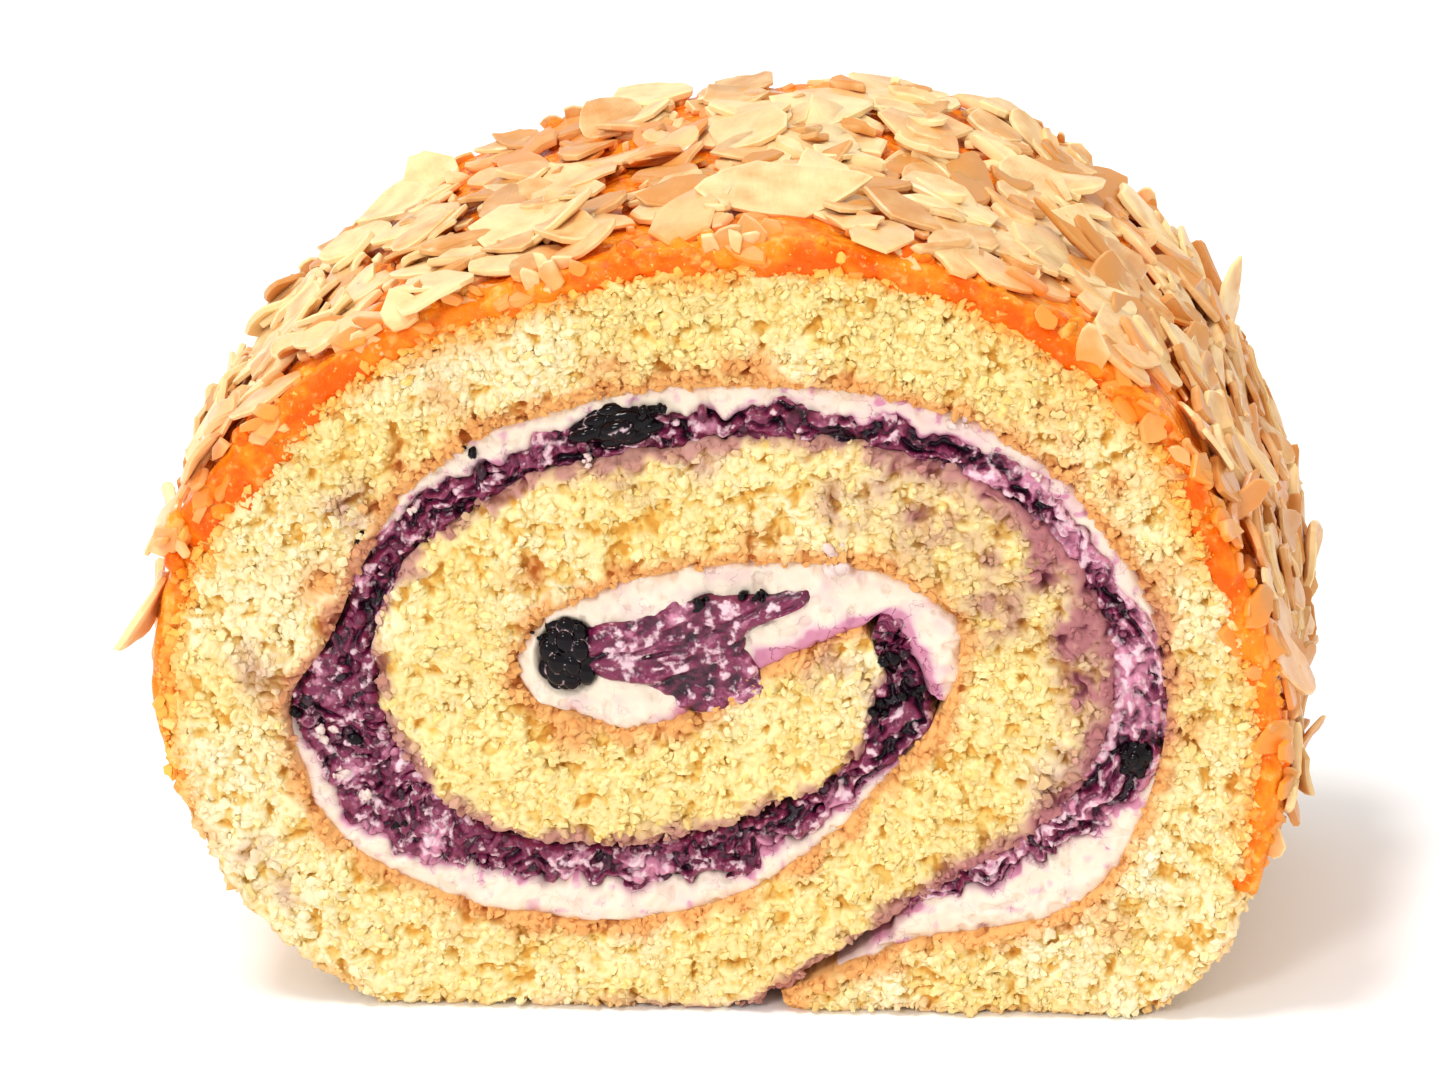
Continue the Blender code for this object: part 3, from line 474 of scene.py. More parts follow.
def domes(points, size, seed, width=0.72):
    """Height on the nearest of scattered balls: 1 over its middle, and 0 from width on.

    Distances are in sizes. Each cube of a lattice holds one middle, moved from the cube's own
    middle by up to half of CELL_SCATTER, and the neighbouring cubes are searched too.
    """
    scaled = points / size
    base = np.floor(scaled).astype(np.int64)
    nearest = np.full(len(points), np.inf)
    for step in corners_of([-1, 0, 1], points.shape[1]):
        cube = base + step
        spot = [lattice_number(cube, seed + 101 * axis) for axis in range(points.shape[1])]
        gap = cube + 0.5 + CELL_SCATTER * (np.stack(spot, -1) - 0.5) - scaled
        nearest = np.minimum(nearest, np.einsum("ij,ij->i", gap, gap))
    return np.sqrt(np.clip(1.0 - (np.sqrt(nearest) / width) ** 2, 0.0, 1.0))


def ease(low, high, values):
    """0 below low and 1 above high, with a smooth step between; high may be the lower one."""
    t = np.clip((values - low) / (high - low), 0.0, 1.0)
    return t * t * (3.0 - 2.0 * t)


def span(values, start, whole, fading, end):
    """1 from whole to fading, with smooth steps down to 0 at start and end."""
    return ease(start, whole, values) * ease(end, fading, values)


def patches(points, spots):
    """The strongest of round patches at each point, fading from the middle out to the radius."""
    away = np.linalg.norm(points[:, None, :] - spots[None, :, :2], axis=2)
    return (spots[:, 3] * ease(1.25, 0.2, away / spots[:, 2])).max(axis=1)


# ---------------------------------------------------------------- meshes


def place(points):
    """Points in millimetres on the drawing, as metres about the slice's own origin."""
    return (points - np.array([ROLL_CENTRE[0], ROLL_CENTRE[1], 0.0])) * MM


def add_piece(name, points, faces, finish, nodes, marks=None, sharp=None, flat_map=None):
    """A piece of the slice from points in millimetres and arrays of quads, triangles or loops.

    marks are numbers for each point that its finish reads by name. Faces are turned outwards if
    the volume they enclose comes out negative.
    """
    points = np.asarray(points, dtype=float)
    groups = [np.asarray(group, dtype=np.int32) for group in faces]
    fans = [np.stack([np.broadcast_to(group[:, :1], group[:, 1:-1].shape), group[:, 1:-1],
                      group[:, 2:]], -1).reshape(-1, 3) for group in groups]
    corners = points[np.vstack(fans)]
    volume = np.einsum("ij,ij->", corners[:, 0], np.cross(corners[:, 1], corners[:, 2]))
    if volume < 0:
        groups = [group[:, ::-1] for group in groups]
    sizes = np.concatenate([np.full(len(group), group.shape[1]) for group in groups])
    starts = np.concatenate([[0], np.cumsum(sizes)[:-1]])
    mesh = bpy.data.meshes.new(name)
    mesh.vertices.add(len(points))
    mesh.vertices.foreach_set("co", place(points).astype(np.float32).ravel())
    mesh.loops.add(int(sizes.sum()))
    mesh.loops.foreach_set("vertex_index", np.concatenate([group.ravel() for group in groups]))
    mesh.polygons.add(len(sizes))
    mesh.polygons.foreach_set("loop_start", starts.astype(np.int32))
    mesh.update(calc_edges=True)
    mesh.validate()
    for mark, values in (marks or {}).items():
        layer = mesh.attributes.new(mark, "FLOAT", "POINT")
        layer.data.foreach_set("value", np.asarray(values, dtype=np.float32).ravel())
    if flat_map is not None:
        corners = np.zeros(len(mesh.loops), dtype=np.int32)
        mesh.loops.foreach_get("vertex_index", corners)
        layer = mesh.uv_layers.new(name="along")
        layer.data.foreach_set("uv", flat_map[corners].astype(np.float32).ravel())
    mesh.shade_smooth()
    if sharp is not None:
        mesh.set_sharp_from_angle(angle=math.radians(sharp))
    mesh.materials.append(finish)
    piece = bpy.data.objects.new(name, mesh)
    bpy.context.scene.collection.objects.link(piece)
    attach(piece, "root")
    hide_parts(*nodes)


def tube_faces(rows, around):
    """Quads of a tube of rows rings with around points each, and one face over each end."""
    index = np.arange(rows * around).reshape(rows, around)
    turned = np.roll(index, -1, axis=1)
    quads = np.stack([index[:-1], index[1:], turned[1:], turned[:-1]], -1).reshape(-1, 4)
    return [quads, index[:1], index[-1:, ::-1]]


def ball_pattern(rows, around):
    """Unit ball with two poles: its directions, and its faces as quads and triangles."""
    polar = np.linspace(0.0, np.pi, rows + 2)[1:-1]
    turn = np.arange(around) * 2 * np.pi / around
    polar, turn = np.meshgrid(polar, turn, indexing="ij")
    ring = np.stack([np.sin(polar) * np.cos(turn), np.sin(polar) * np.sin(turn), np.cos(polar)], -1)
    ways = np.vstack([[(0.0, 0.0, 1.0)], ring.reshape(-1, 3), [(0.0, 0.0, -1.0)]])
    index = 1 + np.arange(rows * around).reshape(rows, around)
    ahead = np.roll(index, -1, axis=1)
    quads = np.stack([index[:-1], index[1:], ahead[1:], ahead[:-1]], -1).reshape(-1, 4)
    top = np.stack([np.zeros(around, int), index[0], ahead[0]], -1)
    bottom = np.stack([np.full(around, len(ways) - 1), ahead[-1], index[-1]], -1)
    return ways, [quads, top, bottom]


def copies(faces, count, size):
    """Faces of count copies of a body that has size points."""
    offsets = (np.arange(count) * size)[:, None, None]
    return [(group[None] + offsets).reshape(-1, group.shape[1]) for group in faces]


def lump_piece(name, centres, radii, uneven, seed, mesh, finish, node, marks, sharp=None):
    """Small lumps at centres as one piece: balls stretched each their own way, with random dents.

    mesh is the rows and points around of each ball, and marks are numbers for each lump. Whatever
    would go below the board is pressed flat on it.
    """
    draw = np.random.default_rng(seed)
    ways, faces = ball_pattern(*mesh)
    count = len(centres)
    stretch = radii[:, None] * draw.uniform(0.6, 1.45, (count, 3))
    dents = 1.0 + draw.uniform(-uneven, uneven, (count, len(ways)))
    spin = np.linalg.qr(draw.normal(size=(count, 3, 3)))[0]
    spin[np.linalg.det(spin) < 0, :, 0] *= -1.0
    body = np.einsum("kij,knj->kni", spin, ways[None] * stretch[:, None] * dents[..., None])
    points = centres[:, None] + body
    points[..., 2] = np.maximum(points[..., 2], 0.0)
    marks = {mark: np.repeat(values, len(ways)) for mark, values in marks.items()}
    add_piece(name, points.reshape(-1, 3), copies(faces, count, len(ways)), finish, [node],
              marks, sharp)


def mostly_small(draw, count, least, more, power=1.8):
    """Random radii from least up to least and more, most of them near least."""
    return least + more * draw.uniform(0.0, 1.0, count) ** power


def grain_piece(name, centres, radii, seed, finish, marks):
    """Torn grains of crumb as one piece."""
    lump_piece(name, centres, radii, 0.4, seed, (2, 5), finish, "sponge", marks, sharp=50.0)


def across(near, far, shares):
    """Grid of points between two lines of points, at shares of the way from near to far."""
    return near[:, None] * (1.0 - shares[:, None]) + far[:, None] * shares[:, None]


def upright(section, depth):
    """Points of a section, x and z, put at depth along the roll's axis."""
    return np.stack([section[..., 0], np.broadcast_to(depth, section.shape[:-1]), section[..., 1]], -1)


# ---------------------------------------------------------------- finishes


class Value:
    """A number in a finish's nodes that takes Python's arithmetic; each step is a Math node."""

    def __init__(self, finish, socket):
        self.finish = finish
        self.socket = socket

    def step(self, operation, *numbers):
        """The Math node of that operation on numbers, or on this one alone."""
        settings, numbers = {"operation": operation}, numbers or (self,)
        return Value(self.finish, self.finish.node("ShaderNodeMath", settings, dict(enumerate(numbers))))

    def __add__(self, other):
        return self.step("ADD", self, other)

    def __sub__(self, other):
        return self.step("SUBTRACT", self, other)

    def __rsub__(self, other):
        return self.step("SUBTRACT", other, self)

    def __mul__(self, other):
        return self.step("MULTIPLY", self, other)

    def held(self):
        """The number kept between 0 and 1."""
        return self.step("MINIMUM", self.step("MAXIMUM", self, 0.0), 1.0)

    __radd__ = __add__
    __rmul__ = __mul__


class Finish:
    """A material whose nodes end in one glossy shader."""

    def __init__(self, name, **constants):
        self.material = bpy.data.materials.new(name)
        self.material.use_nodes = True
        self.tree = self.material.node_tree
        self.tree.nodes.clear()
        self.shader = self.tree.nodes.new("ShaderNodeBsdfPrincipled")
        output = self.tree.nodes.new("ShaderNodeOutputMaterial")
        self.tree.links.new(self.shader.outputs[0], output.inputs[0])
        for socket, number in constants.items():
            self.shader.inputs[socket.replace("_", " ")].default_value = number
        self.place = self.node("ShaderNodeTexCoord", output="Object")

    def join(self, value, socket):
        """Put a number, a colour or a link into a socket."""
        if isinstance(value, Value):
            value = value.socket
        if isinstance(value, bpy.types.NodeSocket):
            self.tree.links.new(value, socket)
        elif hasattr(value, "__len__") and len(value) == 3 and socket.type == "RGBA":
            socket.default_value = (*value, 1.0)
        else:
            socket.default_value = value

    def node(self, kind, settings=None, sockets=None, output=0):
        """A node of that kind: its settings are set first, then its sockets' values or links."""
        node = self.tree.nodes.new(kind)
        for setting, value in (settings or {}).items():
            setattr(node, setting, value)
        for socket, value in (sockets or {}).items():
            self.join(value, node.inputs[socket])
        return node.outputs[output]

    def mark(self, name):
        """The number that the piece's mesh carries under that name."""
        return Value(self, self.node("ShaderNodeAttribute", {"attribute_name": name}, output="Fac"))

    def noise(self, millimetres, detail=2.0):
        """Noise from 0 to 1 with features of about that size."""
        sockets = {"Vector": self.place, "Scale": 1.0 / (millimetres * MM), "Detail": detail}
        return Value(self, self.node("ShaderNodeTexNoise", None, sockets))

    def sharpen(self, value, low, high):
        """0 below low and 1 above high of a number."""
        sockets = {"Value": value, "From Min": low, "From Max": high}
        return Value(self, self.node("ShaderNodeMapRange", {"interpolation_type": "SMOOTHSTEP"}, sockets))

    def mix(self, share, low, high):
        """A colour between low and high."""
        sockets = {0: share, 6: low, 7: high}
        return self.node("ShaderNodeMix", {"data_type": "RGBA"}, sockets, output=2)

    def bumps(self, height, millimetres, strength):
        """Fine relief of that height under the shader's own shape."""
        sockets = {"Height": height, "Distance": millimetres * MM, "Strength": strength}
        return self.node("ShaderNodeBump", None, sockets)

    def feed(self, **sockets):
        """Link what varies over the surface to the shader, and give the material back."""
        for socket, value in sockets.items():
            self.join(value, self.shader.inputs[socket.replace("_", " ")])
        return self.material


def crumb_finish(name, colours):
    """Sponge crumb: grains from deep gold to pale yellow, the deep gold a painted shade in the hollows;
    browned, stained and soaked in places, each with its own painted shade in the hollows.
    """
    finish = Finish(name, Subsurface_Weight=0.12, Subsurface_Scale=0.0004, Specular_IOR_Level=0.12,
                    Subsurface_Radius=(1.0, 0.9, 0.6))
    relief, crust = finish.mark("relief"), finish.mark("crust")
    stain, soak = finish.mark("stain"), finish.mark("soak")
    pale = finish.sharpen(finish.mark("pale") + 0.7 * finish.noise(1.6), 0.35, 1.2)
    uneven = relief + 0.3 * finish.noise(0.6) - 0.15
    # low and high: how far a point is out of the hollows, whose deeper colours are painted shade.
    low, high = finish.sharpen(uneven, 0.0, 0.42), finish.sharpen(uneven, 0.34, 0.86)
    raised = finish.mix(pale, colours.crumb, colours.crumb_pale)
    middle = finish.mix(pale * 0.5, colours.crumb_half_shade, colours.crumb)
    crumb = finish.mix(high, finish.mix(low, colours.crumb_hollow_shade, middle), raised)
    # lift: how far a point is out of the painted shade in the hollows of browned, stained and soaked crumb.
    lift = finish.sharpen(uneven, 0.05, 0.75)
    body = finish.mix(crust, crumb, finish.mix(lift, colours.crust_hollow_shade, colours.crust))
    stained = finish.mix(stain, body, finish.mix(lift, colours.stain_hollow_shade, colours.stain))
    soaked = finish.mix(soak, stained, finish.mix(lift, colours.soak_hollow_shade, colours.soak))
    fine = finish.noise(0.35, 3.0)
    return finish.feed(Base_Color=soaked, Roughness=0.85 - 0.45 * soak,
                       Normal=finish.bumps(fine, 0.10, 0.6))


def cream_finish(name, colours):
    """Whipped cream: smooth and pale, tinted with jam where the two meet."""
    finish = Finish(name, Subsurface_Weight=0.15, Subsurface_Scale=0.0012, Roughness=0.45,
                    Coat_Roughness=0.3, Specular_IOR_Level=0.35, Subsurface_Radius=(1.0, 0.8, 0.65))
    tint = (finish.mark("tint") * (0.4 + 1.1 * finish.noise(1.4, 4.0))).held()
    base = finish.mix(tint, colours.cream, colours.cream_tint)
    deep = finish.mix(finish.sharpen(finish.mark("tint") + 0.4 * finish.noise(0.9, 3.0), 0.85, 1.4),
                      base, colours.jam_light_and_highlight)
    line = (finish.noise(3.2, 5.0) - 0.5).step("ABSOLUTE")
    vein = finish.sharpen(line, 0.012, 0.0) * (0.15 + 0.6 * finish.mark("tint")).held()
    return finish.feed(Base_Color=finish.mix(vein, deep, colours.jam),
                       Normal=finish.bumps(finish.noise(0.8, 3.0), 0.14, 0.6))


def jam_finish(name, colours):
    """Berry jam: dark and wet, pulp from purple to lilac, with painted shade in its low places, painted
    highlights on the raised pulp and flecks partly of cream and partly painted glints.
    """
    finish = Finish(name, Specular_IOR_Level=0.28, Coat_Roughness=0.04, Subsurface_Weight=0.08,
                    Subsurface_Scale=0.0008, Subsurface_Radius=(1.0, 0.3, 0.5))
    relief, milk = finish.mark("relief"), finish.mark("milk")
    fine = finish.noise(0.7, 5.0)
    # pulp: how far out of the painted shade that fills the jam's low places, with noise and cream mixed in.
    pulp = finish.sharpen(0.6 * fine + 0.8 * relief + 0.3 * milk, 0.42, 1.0)
    body = finish.mix(pulp, colours.jam_dark_and_shade, colours.jam)
    # lilac: jam mixed with cream, and a painted highlight on the raised pulp.
    lilac = finish.sharpen(0.9 * fine + 0.6 * milk + 0.45 * relief, 0.86, 1.35)
    mixed = finish.mix(lilac, body, colours.jam_light_and_highlight)
    # Pale flecks, partly cream and partly painted glints, more on the raised pulp.
    speck_and_glint = finish.sharpen(finish.noise(1.1, 5.0) + 0.1 * milk + 0.14 * relief, 0.64, 0.78) * 0.85
    flecked = finish.mix(speck_and_glint, mixed, colours.glint_and_cream_fleck)
    return finish.feed(Base_Color=flecked, Roughness=0.08 + 0.15 * lilac,
                       Coat_Weight=0.25 - 0.1 * lilac,
                       Normal=finish.bumps(finish.noise(0.55, 3.0), 0.22, 0.8))


def berry_finish(name, colours):
    """A berry's black, wet skin, with thin pale lines of painted highlight here and there where the beads
    meet.
    """
    finish = Finish(name, Specular_IOR_Level=0.12)
    bloom = finish.sharpen(finish.noise(1.4, 4.0), 0.5, 0.75)
    skin_colour = finish.mix(bloom * 0.3, colours.berry, colours.jam_dark_and_shade)
    lit = finish.mark("seam") * finish.sharpen(finish.noise(0.8, 2.0), 0.49, 0.58) * 0.8
    return finish.feed(Base_Color=finish.mix(lit, skin_colour, colours.glint_and_cream_fleck),
                       Roughness=0.05 + 0.1 * bloom, Coat_Weight=0.14 - 0.1 * bloom,
                       Normal=finish.bumps(finish.noise(0.8, 2.0), 0.12, 0.5))


def glaze_finish(name, colours):
    """Fruit glaze: wet, deep orange where it has pooled, and pale in patches that stand partly for thin
    glaze and partly for painted highlights, with small painted glints.
    """
    finish = Finish(name, Coat_Roughness=0.04, Coat_Weight=0.05, Specular_IOR_Level=0.12,
                    Subsurface_Weight=0.3, Subsurface_Scale=0.0006, Subsurface_Radius=(1.0, 0.6, 0.3))
    run_together = finish.sharpen(0.6 * finish.mark("depth") + 1.3 * finish.noise(1.8, 4.0), 0.75, 1.4)
    body = finish.mix(run_together, colours.glaze, colours.glaze_deep)
    # Pale patches, partly clearer glaze and partly painted highlights.
    clear = finish.sharpen(finish.noise(1.5, 5.0) - 0.12 * finish.mark("depth"), 0.46, 0.64)
    glint = finish.sharpen(finish.noise(0.5, 2.0), 0.66, 0.74)
    return finish.feed(Base_Color=finish.mix((clear * 0.7 + glint).held(), body, colours.glaze_clear_and_highlight),
                       Roughness=0.08 + 0.2 * finish.noise(1.2, 3.0),
                       Normal=finish.bumps(finish.noise(1.2, 4.0), 0.5, 0.9))


def almond_finish(name, colours):
    """Flaked almond: pale, with the nut's fine streaks along each flake, toasted at random and with painted
    shade towards the right foot, and paler rims that are a painted highlight.

    Near the glaze the flakes have drawn it up, and in places it lies over them.
    """
    finish = Finish(name, Roughness=0.38, Coat_Roughness=0.12, Subsurface_Weight=0.2,
                    Subsurface_Scale=0.0012, Specular_IOR_Level=0.4, Subsurface_Radius=(1.0, 0.6, 0.3))
    along = finish.node("ShaderNodeUVMap", {"uv_map": "along"})
    streak_place = finish.node("ShaderNodeMapping", None, {"Vector": along, "Scale": (0.35, 3.2, 1.0)})
    streaks = Value(finish, finish.node("ShaderNodeTexNoise", None,
                                        {"Vector": streak_place, "Scale": 1.6, "Detail": 3.0}))
    tone_and_shade, edge = finish.mark("tone_and_shade"), finish.mark("edge")
    soak, wet = finish.mark("soak"), finish.mark("wet")
    # Toasting: random per flake and by noise, stronger towards the right foot as painted shade, and weaker
    # on the rims, which stay pale as a painted highlight.
    toast_and_shade = finish.sharpen(tone_and_shade * 0.85 + 0.2 * streaks + 0.08 + 0.9 * finish.noise(2.6, 3.0) - 0.3 * edge,
                           0.45, 1.35)
    body = finish.mix(toast_and_shade, colours.almond, colours.almond_toast_and_shade)
    drawn_up = finish.sharpen(finish.noise(1.8, 3.0) + 0.5 * soak, 0.6, 0.95)
    glazed = (0.6 * wet * (0.3 + finish.noise(2.5, 3.0)) + soak * (0.1 + 0.7 * tone_and_shade)
              * (0.5 + finish.noise(2.0, 3.0)) + 0.3 * drawn_up).held()
    coated = finish.mix(glazed, body, colours.almond_glazed)
    return finish.feed(Base_Color=coated, Coat_Weight=0.08 + 0.5 * wet,
                       Normal=finish.bumps(streaks, 0.05, 0.4))


# ---------------------------------------------------------------- sponge


def crumb_relief(points, seed, grain):
    """Torn crumb at points, x and z or x, y and z: its height in shares, and 1 high to 0 deep.

    The height is two slow swells and rounded grains of three sizes, each a dome over the nearest
    of scattered middles, less winding crevices where one noise passes through nought and pores
    where another is low. Two noises bend the lattice first, so that no two grains are alike.
    """
    axes = range(points.shape[1])
    bent = points + 0.55 * grain * np.stack([swells(points, 1.7 * grain, seed + 7 + k) for k in axes], -1)
    bent = bent + 0.22 * grain * np.stack([swells(points, 0.6 * grain, seed + 17 + k) for k in axes], -1)
    swell = mixed_swells(points, seed, (0.6, 8.0), (0.5, 2.8))
    clumps = domes(bent, 2.2 * grain, seed + 2, 0.78)
    grains = domes(bent, grain, seed + 3, 0.66)
    specks = domes(bent, 0.52 * grain, seed + 4, 0.66)
    crevices = ease(0.2, 0.02, np.abs(swells(bent, 1.7 * grain, seed + 5)))
    pores = ease(-0.36, -0.62, swells(bent, 1.5 * grain, seed + 6))
    height = swell + 0.8 * clumps + 0.65 * grains + 0.3 * specks - 0.4 * crevices - 1.1 * pores
    relief = 0.1 + 0.3 * clumps + 0.45 * grains + 0.25 * specks - 0.25 * crevices - 0.55 * pores
    return height, np.clip(relief, 0.0, 1.0)


def face_depth(section, side, edge, sizes):
    """How far the torn face lies from the slice's middle at points of the section, and its relief.

    edge is the distance to the sheet's nearer face, towards which the crumb rounds off.
    """
    rise, relief = crumb_relief(section, 40 if side < 0 else 60, sizes.crumb_grain / MM)
    height = sizes.crumb_height / MM
    return CUT_FACE + height * (rise - 0.7) - 0.8 * ease(0.9, 0.0, edge), relief


def crumb_marks(section, stations, share, relief, seed):
    """How browned, stained and soaked the crumb is at points of the section.

    Each mark fades with the distance from the face that it comes from, and noise shifts that
    distance. share runs from 0 on the browned face to 1 on the outer face.
    """
    thickness = sponge_thickness(stations)
    from_skin, from_outside = share * thickness, (1.0 - share) * thickness
    rough = mixed_swells(section, seed, (0.9, 2.2), (0.5, 0.9))
    skin_depth = 1.7 + 0.6 * swells(section, 9.0, seed + 2)
    crust = ease(skin_depth + 0.9, 0.35 * skin_depth, from_skin + rough)
    bare = np.clip(ease(5.0, 4.0, stations) + span(stations, *BARE_LEFT), 0, 1)
    crust = np.maximum(crust, 0.5 * bare * ease(1.4, 0.2, from_outside + rough))
    crust = np.clip(np.maximum(crust, patches(section, BROWNED) * (0.6 + swells(section, 1.8, seed + 6))),
                    0.0, 1.0)
    inside = ease(23.5, 24.5, stations)
    right = ease(12.0, 26.0, section[:, 0])
    stain = (0.85 + 0.15 * right) * inside * ease(1.7 + 2.2 * right, 0.3, from_outside + rough)
    plain = np.clip(sum(span(stations, *stretch) for stretch in JAM_ON_SKIN), 0, 1)
    stain = np.maximum(stain, 0.5 * plain * ease(1.6, 0.2, from_skin + rough))
    patchy = np.clip(0.7 + 1.1 * swells(section, 2.2, seed + 3) + 0.5 * swells(section, 0.9, seed + 5),
                     0.0, 1.3)
    stain = np.clip(np.maximum(stain, patches(section, STAINS) * patchy), 0.0, 1.0)
    from_middle = np.linalg.norm(section - np.array([0.0, 36.0]), axis=1)
    pale = 0.15 + 0.25 * ease(26.0, 44.0, from_middle) + 0.5 * swells(section, 8.0, seed + 8)
    reach = 3.0 + 1.7 * swells(section, 6.0, seed + 4)
    soak = span(stations, *COATED) * ease(reach, 0.6, from_outside + 0.7 * rough)
    soak = np.clip(np.maximum(soak, patches(section, SOAKS) * patchy), 0.0, 1.0)
    return {"relief": relief, "crust": crust, "stain": stain, "soak": soak, "pale": np.clip(pale, 0, 1)}


def sponge_piece(name, first, last, wall_rows, sizes, finish):
    """One stretch of the sheet as a tube: front cut face, outer face, back cut face and skin.

    Each ring of the tube is the section at one station. On the cut faces the crumb's relief
    moves the points along the roll's axis, on the outer face out of the roll, and slow noise
    frays both edges of the sheet within the section.
    """
    cell, grain = sizes.crumb_cell / MM, sizes.crumb_grain / MM
    height = sizes.crumb_height / MM
    stations = even_stations(first, last, cell)
    thickness = sponge_thickness(stations)
    columns = max(8, round(float(np.percentile(thickness, 80)) / cell))
    shares = np.linspace(0.0, 1.0, columns)
    points, outward = skin(stations)
    section = across(points, outer_face(stations), shares)
    flat = section.reshape(-1, 2)
    many = np.repeat(stations, columns)
    share = np.tile(shares, len(stations))
    fray = mixed_swells(flat, 31, (0.5, 1.6), (0.45, 0.8))
    taper = np.minimum(thickness / 6.0, 1.0)
    shift = (fray * (share - 0.15) * 0.8).reshape(section.shape[:2]) * taper[:, None]
    frayed = section + outward[:, None] * shift[..., None]
    frayed[..., 1] = np.maximum(frayed[..., 1], 0.02)
    edge = np.minimum(share, 1.0 - share) * np.repeat(thickness, columns)
    rings, marks = [], []
    for side in (-1.0, 1.0):
        depth, relief = face_depth(flat, side, edge, sizes)
        rings.append(upright(frayed, (side * depth).reshape(section.shape[:2])))
        marks.append(crumb_marks(flat, many, share, relief, 80))
    walls = []
    for place_share, rows in ((1.0, wall_rows), (0.0, 3)):
        steps = np.linspace(0.0, 1.0, rows + 2)[1:-1]
        wall = across(*(ring[:, -1 if place_share else 0] for ring in rings), steps)
        spots = wall.reshape(-1, 3)
        relief = np.full(len(spots), 0.6)
        if rows > 10:
            rise, relief = crumb_relief(spots, 70, grain)
            push = (height * (rise - 0.9)).reshape(wall.shape[:2])
            push *= ease(0.0, 0.05, steps * (1 - steps) * 4)
            wall[..., 0] += outward[:, :1] * push
            wall[..., 2] = np.maximum(wall[..., 2] + outward[:, 1:] * push, 0.0)
        walls.append(wall)
        marks.append(crumb_marks(wall[..., [0, 2]].reshape(-1, 2), np.repeat(stations, rows),
                                 np.full(len(spots), place_share), relief, 90))
    loop = np.concatenate([rings[0], walls[0], rings[1][:, ::-1], walls[1][:, ::-1]], axis=1)
    count = len(stations)
    marked = {}
    for mark in marks[0]:
        front, back, outer, inner = (part[mark].reshape(count, -1) for part in marks)
        marked[mark] = np.concatenate([front, outer, back[:, ::-1], inner[:, ::-1]], axis=1)
    add_piece(name, loop.reshape(-1, 3), tube_faces(count, loop.shape[1]), finish, ["sponge"],
              marked)


class BakeSponge(bpy.types.Operator):
    """Make the rolled sponge, with torn crumb on both cut faces"""
    bl_idname = "swiss_roll.sponge"
    bl_label = "Sponge"

    def execute(self, context):
        sizes, colours = context.scene.slice_sizes, context.scene.slice_colours
        finish = crumb_finish("sponge crumb", colours)
        for name, (first, last, rows) in SPONGE_STRETCHES.items():
            sponge_piece(name, first, last, rows, sizes, finish)
        return {"FINISHED"}


# ---------------------------------------------------------------- fillings


def both_sides(front, back):
    """The front face's points or marks in order, and then the back face's in reverse."""
    return np.concatenate([front, back[:, ::-1]], axis=1)


def filling_piece(name, near_line, far_line, cell, depth_of, marks_of, finish, nodes):
    """A strip of filling between two lines on the section, as a tube through the slice.

    depth_of gives how far the filling's face lies behind the cut face, from points of the
    section and their distances to the near and the far line; both edges sink behind the crumb.
    marks_of gives the marks there. Both are called alike for every filling.
    """
    width = np.linalg.norm(far_line - near_line, axis=1)
    columns = max(6, round(float(np.percentile(width, 90)) / cell))
    shares = np.linspace(0.0, 1.0, columns)
    section = across(near_line, far_line, shares)
    flat = section.reshape(-1, 2)
    share = np.tile(shares, len(near_line))
    near, far = share * np.repeat(width, columns), (1.0 - share) * np.repeat(width, columns)
    rings, marks = [], []
    for side, seed in SIDES:
        depth, relief = depth_of(flat, near, far, seed)
        sunk = 1.5 * np.exp(-near / 0.45) + 1.5 * np.exp(-far / 0.45)
        rings.append(upright(section, (side * (CUT_FACE - depth - sunk)).reshape(section.shape[:2])))
        marks.append(marks_of(flat, near, far, relief, seed))
    loop = both_sides(*rings)
    count = len(near_line)
    marked = {mark: both_sides(*(side[mark].reshape(count, -1) for side in marks)) for mark in marks[0]}
    add_piece(name, loop.reshape(-1, 3), tube_faces(count, loop.shape[1]), finish, nodes, marked)


def cream_edge(stations):
    """Where the cream ends and the jam starts: the spread's thickness, with a ragged edge."""
    points, _ = skin(stations)
    spread = spread_cream(stations)
    ragged = mixed_swells(points, 200, (0.55, 3.4), (0.4, 1.5), (0.25, 0.7))
    return np.maximum(spread + ragged * np.minimum(spread, 1.6), 0.0)


def hollows(points):
    """How deep the filling gives way around the berries: a bowl a little wider than each one."""
    deep = np.zeros(len(points))
    for berry in BERRIES.values():
        away = (points - np.array(berry["centre"])) / (np.array(berry["radii"])[[0, 2]] * berry["shows"])
        deep = np.maximum(deep, 1.6 * ease(1.0, 0.65, np.linalg.norm(away, axis=1)))
    return deep


def cream_depth(points, near, far, seed):
    """Cream lies nearly level with the cut face: soft waves of three sizes and small torn pits."""
    waves = mixed_swells(points, 210 + seed, (0.35, 4.2), (0.26, 1.5), (0.13, 0.65))
    pits = 0.35 * ease(-0.45, -0.7, swells(points, 1.1, 213 + seed))
    return 0.25 - waves + pits + hollows(points), waves


def cream_marks(points, near, far, relief, seed):
    """Cream takes on the jam's colour towards the far line, where the jam starts."""
    smear = 0.6 + 0.9 * swells(points, 2.6, 220)
    right = ease(8.0, 16.0, points[:, 0]) * ease(48.0, 52.0, points[:, 1])
    speckle = ease(0.45, 0.75, swells(points, 0.9, 222)) * 0.7
    tint = ease(1.5, 0.2, far) * smear + 0.3 * right + 0.3 * swells(points, 1.6, 221) + speckle
    return {"tint": np.clip(tint, 0.0, 1.5)}


def core_marks(points, near, far, relief, seed):
    """In the core the cream is tinted along the lower skin and round the jam."""
    low = ease(3.4, 0.8, near + 0.8 * swells(points, 1.4, 225)) * ease(-9.0, 0.0, points[:, 0])
    blots = mixed_swells(points, 223, (0.35, 2.2), (0.25, 0.9))
    return {"tint": np.clip(1.5 * low + blots, 0.0, 1.6)}


